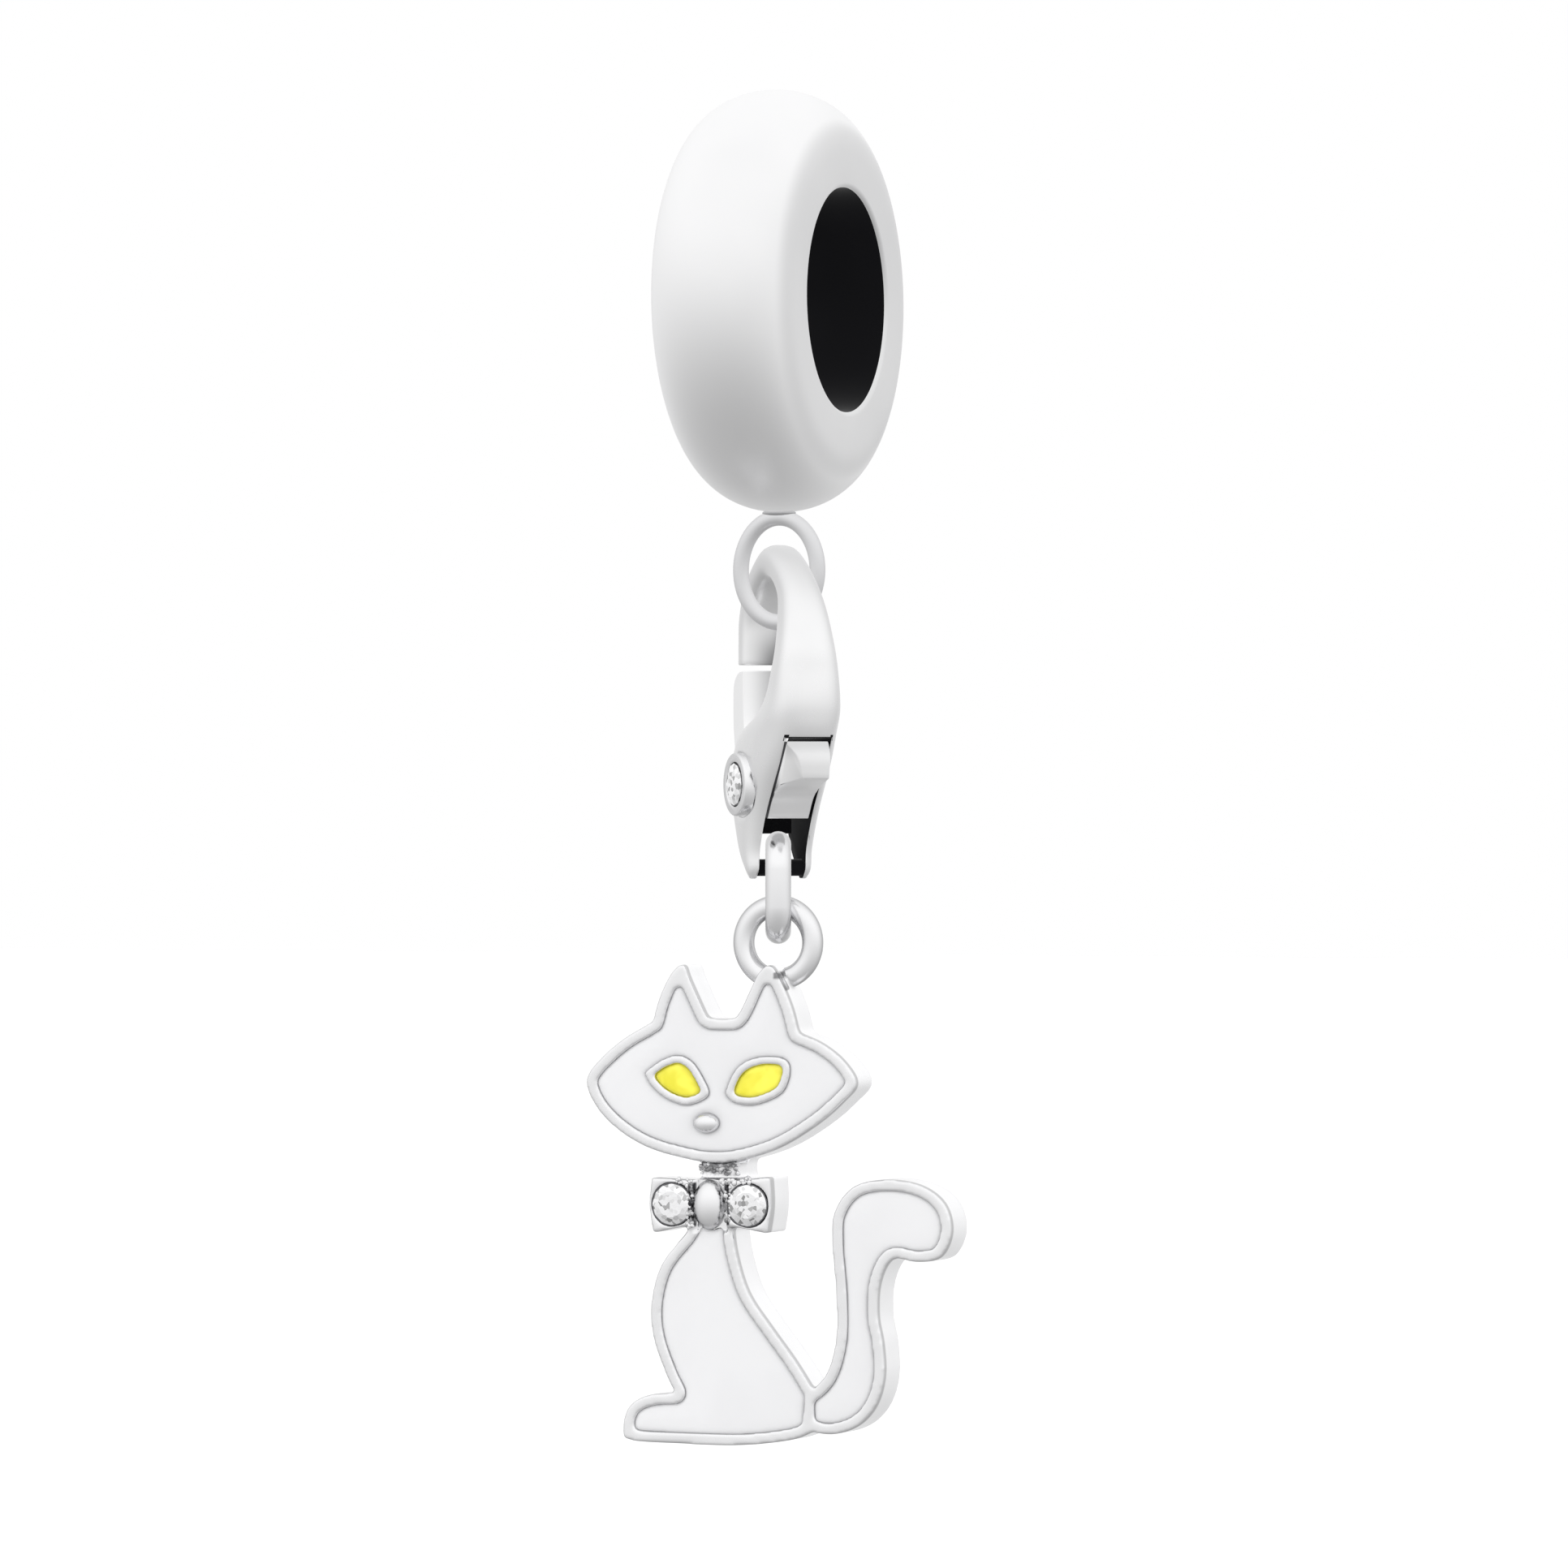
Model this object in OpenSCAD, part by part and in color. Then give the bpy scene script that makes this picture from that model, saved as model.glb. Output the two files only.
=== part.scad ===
// Dangle charm: a round spacer bead with a soldered loop, a lobster clasp with a crystal on its
// rivet, a long link, and a seated cat in white enamel with a bow tie of two crystals.
// The origin is the middle of the bead's bore. The bore runs along X, +Z is up and -Y is the front.

/* [Bead] */
// Outer diameter of the bead
bead_d = 10; // [8.5:0.1:13]
// Width of the bead along its bore
bead_w = 3.5; // [2.6:0.1:4.5]
// Diameter of the bore that a bracelet passes through
bore_d = 5.3; // [4:0.1:6]
// Depth of the rounded edge, from the rim down the flat side
bead_edge = 1.5; // [0.6:0.05:2]
// How square the rounded edge is, where 2 is an ellipse
bead_power = 2.1; // [2:0.1:4]
// Rounding at the mouths of the bore
bore_round = 0.12; // [0.05:0.01:0.2]

/* [Loop under the bead] */
// Outer width of the loop
loop_w = 2.32; // [2.3:0.02:2.8]
// Outer height of the loop
loop_h = 2.86; // [2.6:0.02:3.6]
// Diameter of the loop's wire
loop_wire = 0.38; // [0.3:0.01:0.4]
// How far the loop is sunk into the bead
loop_sink = 0.06; // [0.03:0.01:0.15]
// Diameter of the drop of solder between the bead and the loop
solder_d = 0.8; // [0.5:0.05:1.2]

/* [Clasp] */
// Angle from +X to the direction in which the clasp's nose points
clasp_turn = 132; // [126:1:138]
// Height of the clasp from its tip to the top of the hook
clasp_h = 7.9; // [7.4:0.1:9]
// Width of the clasp from its back to its nose
clasp_w = 4.1; // [3.9:0.05:4.6]
// Thickness of the clasp at its cheeks
clasp_t = 1.96; // [1.9:0.02:2.1]
// Height of the hook's top above the middle of the loop
hook_rise = 0.59; // [0.45:0.01:0.7]
// How square the clasp's sections are, where 2 is an ellipse
clasp_power = 2.7; // [2:0.1:4]
// Width of the slot between the cheeks
slot_w = 1.16; // [1.16:0.01:1.24]
// Depth of the slot's top below the top of the hook, seen at the back
slot_drop = 4.58; // [4.4:0.02:4.7]
// Distance of the slot's front part from the axis of the hook, on the side of the back
slot_back = 0.45; // [0.3:0.05:0.7]
// Depth of the top of the web that joins the cheeks in front, below the top of the hook
web_drop = 6.32; // [6.3:0.01:6.36]
// Height of the web
web_h = 0.52; // [0.3:0.01:0.55]
// Distance of the web's inner side from the axis of the hook
web_along = 0.7; // [0.68:0.01:0.8]
// Diameter of the bar across the cheeks
bar_d = 0.4; // [0.3:0.02:0.44]
// Height of the bar's centre above the tip of the clasp
bar_up = 0.26; // [0.24:0.01:0.34]
// Distance of the bar's centre from the axis of the hook
bar_along = 0.06; // [0:0.01:0.12]

/* [Rivet and crystal] */
// Distance of the rivet from the axis of the hook
rivet_along = 0.1; // [0:0.02:0.2]
// Depth of the rivet's centre below the top of the hook
rivet_drop = 5.67; // [5.6:0.01:5.75]
// Diameter of the rivet's pin
rivet_d = 0.6; // [0.4:0.02:0.7]
// Diameter of the cup on the rivet
cup_d = 1.5; // [1.3:0.02:1.6]
// How far the cup is let into the cheek
cup_sink = 0.2; // [0.17:0.01:0.24]
// How far the cup stands out of the cheek
cup_rise = 0.13; // [0.1:0.01:0.3]
// Diameter of the rivet's crystal
gem_d = 1; // [0.8:0.02:1.1]
// Depth of the crystal's seat in the cup
gem_seat = 0.22; // [0.16:0.01:0.24]

/* [Link] */
// Diameter of the link's wire
link_wire = 0.61; // [0.5:0.01:0.62]
// Outer width of the link
link_w = 1.94; // [1.8:0.02:2]
// Outer height of the link
link_h = 2.67; // [2.55:0.02:3]
// Angle from +X to the plane of the link
link_turn = -69; // [-72:1:-62]

/* [Cat] */
// Thickness of the cat from its back to the top of its rims
cat_t = 1.2; // [1:0.05:1.6]
// Width of the head
head_w = 6.85; // [6.4:0.1:7.6]
// Height of the head with its ears
head_h = 4.71; // [4.3:0.05:5.2]
// Width of the body from the paw to the rump
body_w = 5.02; // [4.6:0.05:5.6]
// Height of the body up to the bow tie
body_h = 5.15; // [4.8:0.05:5.8]
// Width of the tail
tail_w = 3.52; // [3.2:0.05:4]
// Height of the tail
tail_h = 6.04; // [5.4:0.05:6.6]
// Width of the raised rims
rim_w = 0.27; // [0.2:0.01:0.32]
// Rounding of the corners inside the rims
cell_round = 0.12; // [0.05:0.01:0.15]
// Depth of the cells below the top of the rims
cell_depth = 0.38; // [0.25:0.01:0.5]
// How far the enamel stays below the top of the rims
enamel_drop = 0.06; // [0.03:0.01:0.12]
// Outer diameter of the ring on the ear
ring_d = 2.25; // [2.05:0.05:2.5]
// Diameter of the ring's wire
ring_wire = 0.5; // [0.36:0.01:0.54]
// How far the tip of the ear reaches into the ring
ear_poke = 0.11; // [0.05:0.01:0.2]

/* [Face] */
// Width of an eye with its rim
eye_w = 1.67; // [1.4:0.02:1.8]
// Height of an eye with its rim
eye_h = 1.18; // [1:0.02:1.3]
// Width of the rim of an eye
eye_rim = 0.2; // [0.14:0.01:0.26]
// Width of the nose
nose_w = 0.62; // [0.5:0.02:0.8]
// Height of the nose
nose_h = 0.45; // [0.36:0.01:0.6]
// How far the nose stands out of the rims' plane
nose_rise = 0.1; // [0.02:0.01:0.2]

/* [Bow tie] */
// Width of the bow tie
bow_w = 3.1; // [2.8:0.02:3.4]
// Height of the bow tie at its ends
bow_h = 1.38; // [1.26:0.02:1.5]
// How far the bow tie stands out of the rims' plane
bow_rise = 0.12; // [0.05:0.01:0.3]
// Width of the neck above the bow tie
neck_w = 1.17; // [0.9:0.02:1.4]
// Visible height of the neck
neck_h = 0.3; // [0.2:0.02:0.5]
// Width of the knot
knot_w = 0.86; // [0.7:0.02:0.92]
// Height of the knot
knot_h = 1.22; // [1:0.02:1.3]
// How far the knot stands out of the bow tie
knot_rise = 0.2; // [0.1:0.01:0.3]
// Diameter of a crystal in the bow tie
stone_d = 0.96; // [0.8:0.02:1]
// Depth of a crystal's seat
seat_depth = 0.42; // [0.38:0.01:0.6]

/* [Clearances] */
// Play of each wire in the piece that it hangs from
play = 0.05; // [0.03:0.01:0.08]
// Gap at each side between the lever and the cheeks, and under the slot's top
lever_gap = 0.05; // [0.03:0.01:0.06]
// Gap all round between the rivet and its bores, and under its cup
rivet_gap = 0.02; // [0.01:0.005:0.03]
// Gap between the enamel and the metal of its cell
enamel_gap = 0.02; // [0.01:0.005:0.03]
// Gap between a crystal and its seat
stone_gap = 0.02; // [0.01:0.005:0.03]

/* [Hidden] */

silver = "#dfe1e4";
white_enamel = "#f4f4f6";
yellow_enamel = "#f4e21c";
crystal = "#e8eef2";

round_fn = 96;
small_fn = 32;
offset_fn = 24;
dome_fn = 20;
curve_steps = 4;
wire_sides = 12;
wire_steps = 40;
section_sides = 20;
overcut = 1;

loop_z = -bead_d / 2 + loop_sink - loop_h / 2;
hook_z = loop_z + hook_rise;
tip_z = hook_z - clasp_h;
bar_z = tip_z + bar_up;
link_z = bar_z + bar_d / 2 + play + link_wire - link_h / 2;
ring_inner = ring_d / 2 - ring_wire;
ring_z = link_z - link_h / 2 + link_wire + play - ring_inner;
bar_xy = bar_along * [cos(clasp_turn), sin(clasp_turn)];

// The cat's places, from the ring on its right ear down
ear_share = 0.18;
head_x = -ear_share * head_w;
head_z = -ring_inner + ear_poke - head_h;
bow_x = head_x - 0.035 * head_w;
bow_z = head_z - neck_h - bow_h / 2;
body_x = head_x - 0.5 * body_w;
body_z = bow_z - bow_h / 2 + 0.03 * body_h - body_h;
tail_x = body_x + 0.955 * body_w;
tail_z = body_z + 0.06 * body_h;
eye_up = 0.416;
eye_left_x = -0.167;
eye_right_x = 0.133;
nose_at = [head_x - 0.055 * head_w, head_z + 0.2 * head_h];
stone_x = 0.31 * bow_w;
floor_t = cat_t - cell_depth;
enamel_t = cell_depth - enamel_drop - enamel_gap;
rim_root = 0.1;
neck_margin = 0.2 * cat_t;

// Hermite curve through a closed table of points. Columns: across, up, corner (1 keeps it sharp).
function flat(row) = [row[0], row[1]];
function tangent(rows, i, side) =
    let (n = len(rows), here = flat(rows[i]), last = flat(rows[(i + n - 1) % n]),
         next = flat(rows[(i + 1) % n]))
    rows[i][2] == 1 ? (side > 0 ? next - here : here - last) : (next - last) / 2;
function hermite(a, b, ta, tb, t) =
    (2 * t ^ 3 - 3 * t ^ 2 + 1) * a + (t ^ 3 - 2 * t ^ 2 + t) * ta
    + (3 * t ^ 2 - 2 * t ^ 3) * b + (t ^ 3 - t ^ 2) * tb;
function smooth(rows) = [
    for (i = [0 : len(rows) - 1], k = [0 : curve_steps - 1])
        let (j = (i + 1) % len(rows))
        hermite(flat(rows[i]), flat(rows[j]), tangent(rows, i, 1), tangent(rows, j, -1),
                k / curve_steps)
];

// A power of a sine or cosine that keeps its sign, for superellipses
function signed(value, power) = sign(value) * abs(value) ^ (2 / power);

// Faces of a sweep of rings with the same number of points, closed or with two end caps
function sweep_faces(rings, sides, closed) = concat(
    [for (i = [0 : rings - (closed ? 1 : 2)], j = [0 : sides - 1])
        let (a = i * sides, b = ((i + 1) % rings) * sides, k = (j + 1) % sides)
        [a + j, b + j, b + k, a + k]],
    closed ? [] : [
        [for (j = [0 : sides - 1]) j],
        [for (j = [sides - 1 : -1 : 0]) (rings - 1) * sides + j]
    ]
);

// A ring of round wire along a closed path in the XZ plane
module wire_ring(path, wire) {
    n = len(path);
    points = [
        for (i = [0 : n - 1], j = [0 : wire_sides - 1])
            let (step = path[(i + 1) % n] - path[(i + n - 1) % n],
                 out = [step[1], -step[0]] / norm(step), turn = 360 * j / wire_sides,
                 at = path[i] + wire / 2 * cos(turn) * out)
            [at[0], wire / 2 * sin(turn), at[1]]
    ];
    polyhedron(points, sweep_faces(n, wire_sides, true), convexity = 4);
}
function oval_path(w, h) = [
    for (i = [0 : wire_steps - 1]) [w / 2 * sin(360 * i / wire_steps), h / 2 * cos(360 * i / wire_steps)]
];
function oblong_path(w, h) = [
    for (end = [0, 1], i = [0 : wire_steps / 2 - 1])
        let (turn = 180 * end + 180 * i / (wire_steps / 2 - 1), up = end == 0 ? 1 : -1)
        [-w / 2 * cos(turn), w / 2 * sin(turn) + up * (h - w) / 2]
];

// Bead
function bead_profile() = concat(
    [for (side = [-1, 1], i = [0 : 3])
        let (turn = side < 0 ? 90 * i / 3 : 90 - 90 * i / 3)
        [bore_d / 2 + bore_round * (1 - sin(turn)), side * (bead_w / 2 - bore_round * (1 - cos(turn)))]],
    [for (i = [0 : 24])
        let (turn = 180 * i / 24)
        [bead_d / 2 - bead_edge + bead_edge * signed(sin(turn), bead_power),
         bead_w / 2 * signed(cos(turn), bead_power)]]
);
module bead() {
    color(silver) {
        rotate([0, 90, 0])
            rotate_extrude($fn = round_fn)
                polygon(bead_profile());
        translate([0, 0, loop_z])
            wire_ring(oval_path(loop_w - loop_wire, loop_h - loop_wire), loop_wire);
        translate([0, 0, -bead_d / 2 - loop_wire / 2])
            cylinder(h = loop_wire, d1 = solder_d / 2, d2 = solder_d, $fn = small_fn);
    }
}

// Clasp. In its own frame x runs from the back to the nose, y to the side with the crystal,
// and the origin is the top of the hook.
module in_clasp() {
    translate([0, 0, hook_z])
        rotate([0, 0, clasp_turn])
            children();
}
// Rows from the tip up the back and round the hook to the nose. Columns: back or outer edge
// along and down, front or inner edge along and down, thickness, as shares of clasp_w,
// clasp_h and clasp_t.
CLASP_SECTIONS = [
    [-0.02, 1.00, 0.06, 1.00, 0.72],
    [-0.07, 0.97, 0.11, 0.97, 0.82],
    [-0.09, 0.91, 0.21, 0.91, 0.88],
    [-0.19, 0.81, 0.30, 0.81, 0.95],
    [-0.32, 0.72, 0.365, 0.72, 1.00],
    [-0.43, 0.65, 0.355, 0.65, 1.00],
    [-0.525, 0.57, 0.25, 0.57, 0.97],
    [-0.56, 0.51, -0.05, 0.51, 0.92],
    [-0.57, 0.455, -0.185, 0.455, 0.86],
    [-0.56, 0.38, -0.255, 0.38, 0.79],
    [-0.545, 0.305, -0.28, 0.305, 0.70],
    [-0.495, 0.205, -0.255, 0.215, 0.58],
    [-0.395, 0.12, -0.205, 0.155, 0.49],
    [-0.205, 0.04, -0.10, 0.113, 0.46],
    [-0.01, 0.00, 0.00, 0.098, 0.46],
    [0.165, 0.04, 0.093, 0.115, 0.46],
    [0.335, 0.12, 0.195, 0.163, 0.46],
    [0.42, 0.215, 0.255, 0.223, 0.46],
    [0.43, 0.29, 0.27, 0.29, 0.46],
    [0.43, 0.358, 0.275, 0.358, 0.46]
];
function row_tangent(rows, i) =
    let (n = len(rows)) i == 0 ? rows[1] - rows[0] : i == n - 1 ? rows[i] - rows[i - 1]
    : (rows[i + 1] - rows[i - 1]) / 2;
function smooth_rows(rows) = [
    for (i = [0 : len(rows) - 2], k = [0 : (i == len(rows) - 2 ? 2 : 1)])
        hermite(rows[i], rows[i + 1], row_tangent(rows, i), row_tangent(rows, i + 1), k / 2)
];
module clasp_solid() {
    rows = smooth_rows(CLASP_SECTIONS);
    points = [
        for (row = rows, j = [0 : section_sides - 1])
            let (outer = [row[0] * clasp_w, -row[1] * clasp_h],
                 inner = [row[2] * clasp_w, -row[3] * clasp_h],
                 turn = 360 * (j + 0.5) / section_sides,
                 at = (outer + inner) / 2 + (inner - outer) / 2 * signed(cos(turn), clasp_power))
            [at[0], row[4] * clasp_t / 2 * signed(sin(turn), clasp_power), at[1]]
    ];
    polyhedron(points, sweep_faces(len(rows), section_sides, false), convexity = 6);
}
module across(width) {
    rotate([90, 0, 0])
        linear_extrude(height = width, center = true)
            children();
}
module rivet_hole(diameter) {
    translate([rivet_along, 0, -rivet_drop])
        rotate([90, 0, 0])
            cylinder(h = clasp_t + 2 * overcut, d = diameter, center = true, $fn = round_fn);
}
cup_floor = clasp_t / 2 - cup_sink;
module clasp_body() {
    color(silver)
        in_clasp() {
            difference() {
                clasp_solid();
                across(slot_w)
                    polygon([
                        [-clasp_w, -slot_drop], [-slot_back, -slot_drop],
                        [-slot_back, -0.4 * clasp_h], [clasp_w / 2, -0.4 * clasp_h],
                        [clasp_w / 2, -web_drop], [web_along, -web_drop],
                        [web_along, -web_drop - web_h], [clasp_w / 2, -web_drop - web_h],
                        [clasp_w / 2, -clasp_h - overcut], [-clasp_w, -clasp_h - overcut]
                    ]);
                rivet_hole(rivet_d + 2 * rivet_gap);
                translate([rivet_along, cup_floor, -rivet_drop])
                    rotate([-90, 0, 0])
                        cylinder(h = overcut, d = cup_d + 2 * rivet_gap, $fn = round_fn);
            }
            translate([bar_along, 0, bar_up - clasp_h])
                rotate([90, 0, 0])
                    cylinder(h = slot_w + bar_d / 4, d = bar_d, center = true, $fn = round_fn);
        }
}

// Rows round the lever from the top of the gate, down its front, under the thumb tab and back
// over the hub. Columns: along, down, corner, as shares of clasp_w and clasp_h.
LEVER_OUTLINE = [
    [0.25, 0.375, 1],
    [0.335, 0.383, 0],
    [0.40, 0.415, 0],
    [0.412, 0.48, 0],
    [0.40, 0.57, 0],
    [0.34, 0.68, 0],
    [0.20, 0.77, 0],
    [0.02, 0.80, 0],
    [-0.14, 0.82, 1],
    [-0.255, 0.745, 0],
    [-0.47, 0.70, 1],
    [-0.487, 0.635, 0],
    [-0.455, 0.59, 1],
    [-0.28, 0.59, 1],
    [-0.05, 0.65, 0],
    [0.12, 0.64, 0],
    [0.22, 0.57, 0],
    [0.245, 0.48, 0]
];
module clasp_lever() {
    color(silver)
        in_clasp()
            difference() {
                across(slot_w - 2 * lever_gap)
                    difference() {
                        polygon([for (p = smooth(LEVER_OUTLINE)) [p[0] * clasp_w, -p[1] * clasp_h]]);
                        translate([-clasp_w - slot_back, -slot_drop - lever_gap])
                            square([clasp_w, clasp_h]);
                    }
                rivet_hole(rivet_d + 4 * rivet_gap);
            }
}
module rivet() {
    color(silver)
        in_clasp()
            translate([rivet_along, 0, -rivet_drop])
                rotate([-90, 0, 0])
                    difference() {
                        union() {
                            translate([0, 0, -clasp_t / 2])
                                cylinder(h = clasp_t, d = rivet_d, $fn = round_fn);
                            translate([0, 0, cup_floor + rivet_gap])
                                cylinder(h = cup_sink - rivet_gap + cup_rise, d = cup_d, $fn = round_fn);
                        }
                        translate([0, 0, clasp_t / 2 + cup_rise - gem_seat])
                            cylinder(h = gem_seat + overcut, d = gem_d + 2 * stone_gap, $fn = round_fn);
                    }
}

// Cut stone with its girdle at z = 0: a table, a crown of stars, kites and girdle facets, and
// a pavilion of facets down to the point
module cut_stone(diameter, crown, depth) {
    n = 8;
    band = 0.04 * diameter;
    top = [for (i = [0 : n - 1]) [0.29 * diameter * cos(360 * i / n), 0.29 * diameter * sin(360 * i / n), crown]];
    middle = [for (i = [0 : n - 1]) let (turn = 360 * (i + 0.5) / n)
        [0.41 * diameter * cos(turn), 0.41 * diameter * sin(turn), 0.5 * crown]];
    edge = [for (z = [0, -band], i = [0 : 2 * n - 1]) let (turn = 180 * i / n)
        [diameter / 2 * cos(turn), diameter / 2 * sin(turn), z]];
    points = concat(top, middle, edge, [[0, 0, -depth]]);
    girdle = 2 * n;
    lower = 4 * n;
    faces = concat(
        [[for (i = [n - 1 : -1 : 0]) i]],
        [for (i = [0 : n - 1]) [i, (i + 1) % n, n + i]],
        [for (i = [0 : n - 1]) [i, n + i, girdle + 2 * i]],
        [for (i = [0 : n - 1]) [(i + 1) % n, girdle + (2 * i + 2) % (2 * n), n + i]],
        [for (i = [0 : n - 1]) [n + i, girdle + 2 * i + 1, girdle + 2 * i]],
        [for (i = [0 : n - 1]) [n + i, girdle + (2 * i + 2) % (2 * n), girdle + 2 * i + 1]],
        [for (i = [0 : 2 * n - 1]) let (k = (i + 1) % (2 * n))
            [girdle + i, girdle + k, lower + k, lower + i]],
        [for (i = [0 : 2 * n - 1]) let (k = (i + 1) % (2 * n)) [lower + i, lower + k, 6 * n]]
    );
    polyhedron(points, faces, convexity = 2);
}
module clasp_crystal() {
    color(crystal)
        in_clasp()
            translate([rivet_along, clasp_t / 2 + cup_rise, -rivet_drop])
                rotate([-90, 0, 0])
                    cut_stone(gem_d, 0.12 * gem_d, gem_seat - stone_gap);
}

// Link
module link() {
    color(silver)
        translate([bar_xy[0], bar_xy[1], link_z])
            rotate([0, 0, link_turn])
                wire_ring(oblong_path(link_w - link_wire, link_h - link_wire), link_wire);
}

// Cat. Its flat shapes are drawn in x and z from the middle of the ring on its right ear.
// Columns of the outlines: across, up, corner, as shares of each shape's own width and height.
HEAD_OUTLINE = [
    [-0.255, 0.71, 1],
    [-0.23, 0.83, 0],
    [-0.185, 0.955, 0],
    [-0.14, 1.00, 0],
    [-0.118, 0.93, 0],
    [-0.07, 0.785, 0],
    [-0.052, 0.738, 0],
    [-0.03, 0.727, 0],
    [0.035, 0.727, 0],
    [0.056, 0.738, 0],
    [0.08, 0.79, 0],
    [0.135, 0.95, 0],
    [0.18, 1.00, 0],
    [0.215, 0.935, 0],
    [0.26, 0.79, 0],
    [0.285, 0.66, 1],
    [0.37, 0.61, 0],
    [0.45, 0.525, 0],
    [0.50, 0.41, 0],
    [0.45, 0.315, 0],
    [0.345, 0.19, 0],
    [0.19, 0.065, 0],
    [0.00, 0.00, 0],
    [-0.17, 0.03, 0],
    [-0.31, 0.095, 0],
    [-0.43, 0.215, 0],
    [-0.495, 0.35, 0],
    [-0.49, 0.455, 0],
    [-0.38, 0.605, 0]
];
BODY_OUTLINE = [
    [0.35, 1.12, 1],
    [0.34, 1.00, 0],
    [0.20, 0.83, 0],
    [0.145, 0.65, 0],
    [0.155, 0.49, 0],
    [0.215, 0.33, 0],
    [0.265, 0.235, 1],
    [0.125, 0.22, 0],
    [0.03, 0.165, 0],
    [0.00, 0.06, 0],
    [0.04, 0.01, 0],
    [0.30, 0.00, 0],
    [0.60, 0.00, 0],
    [0.85, 0.03, 0],
    [0.96, 0.07, 1],
    [0.975, 0.25, 1],
    [0.875, 0.395, 0],
    [0.755, 0.545, 0],
    [0.64, 0.70, 0],
    [0.58, 0.87, 0],
    [0.56, 1.00, 0],
    [0.56, 1.12, 1]
];
TAIL_OUTLINE = [
    [-0.05, 0.015, 1],
    [0.14, 0.00, 0],
    [0.33, 0.035, 0],
    [0.46, 0.115, 0],
    [0.52, 0.23, 0],
    [0.51, 0.36, 0],
    [0.475, 0.47, 0],
    [0.49, 0.60, 0],
    [0.58, 0.69, 0],
    [0.75, 0.68, 0],
    [0.92, 0.70, 0],
    [1.00, 0.80, 0],
    [0.95, 0.91, 0],
    [0.78, 0.98, 0],
    [0.53, 1.00, 0],
    [0.30, 0.97, 0],
    [0.165, 0.87, 0],
    [0.15, 0.74, 0],
    [0.175, 0.57, 0],
    [0.18, 0.39, 0],
    [0.12, 0.25, 0],
    [0.02, 0.18, 0],
    [-0.06, 0.16, 1]
];
EYE_LEFT = [
    [0.00, 0.63, 1],
    [0.25, 0.88, 0],
    [0.52, 1.00, 0],
    [0.74, 0.87, 0],
    [0.90, 0.56, 0],
    [1.00, 0.22, 0],
    [0.80, 0.03, 0],
    [0.57, 0.00, 0],
    [0.30, 0.15, 0],
    [0.11, 0.38, 0]
];
EYE_RIGHT = [
    [0.00, 0.23, 1],
    [0.15, 0.68, 0],
    [0.37, 0.92, 0],
    [0.68, 1.00, 0],
    [0.94, 0.93, 0],
    [1.00, 0.68, 0],
    [0.90, 0.30, 0],
    [0.67, 0.10, 0],
    [0.38, 0.00, 0],
    [0.12, 0.07, 0]
];
BOW_OUTLINE = [
    [-0.48, 0.96, 1],
    [-0.50, 0.50, 0],
    [-0.47, 0.00, 1],
    [-0.17, 0.13, 0],
    [0.17, 0.13, 0],
    [0.47, 0.02, 1],
    [0.50, 0.50, 0],
    [0.49, 1.00, 1],
    [0.17, 0.93, 0],
    [-0.17, 0.93, 0]
];
module shape(rows, x, z, w, h) {
    translate([x, z])
        polygon([for (p = smooth(rows)) [p[0] * w, p[1] * h]]);
}
module head_shape() { shape(HEAD_OUTLINE, head_x, head_z, head_w, head_h); }
module body_shape() { shape(BODY_OUTLINE, body_x, body_z, body_w, body_h); }
module tail_shape() { shape(TAIL_OUTLINE, tail_x, tail_z, tail_w, tail_h); }
module bow_shape() { shape(BOW_OUTLINE, bow_x, bow_z - bow_h / 2, bow_w, bow_h); }
module eye_shape(rows, across) {
    shape(rows, head_x + across * head_w - eye_w / 2, head_z + eye_up * head_h - eye_h / 2, eye_w, eye_h);
}
module eye_left_shape() { eye_shape(EYE_LEFT, eye_left_x); }
module eye_right_shape() { eye_shape(EYE_RIGHT, eye_right_x); }
module nose_shape() {
    translate(nose_at)
        resize([nose_w, nose_h])
            circle(d = nose_h, $fn = small_fn);
}
module knot_shape() {
    translate([bow_x, bow_z])
        resize([knot_w, knot_h])
            circle(d = knot_h, $fn = small_fn);
}
module inset(by) { offset(r = -by, $fn = offset_fn) children(); }
module outset(by) { offset(r = by, $fn = offset_fn) children(); }

// The cell inside the rim of a shape, with rounded corners, and the enamel's outline with a gap
module cell(gap = 0) {
    outset(cell_round - gap)
        inset(rim_w + cell_round)
            children();
}

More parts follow.
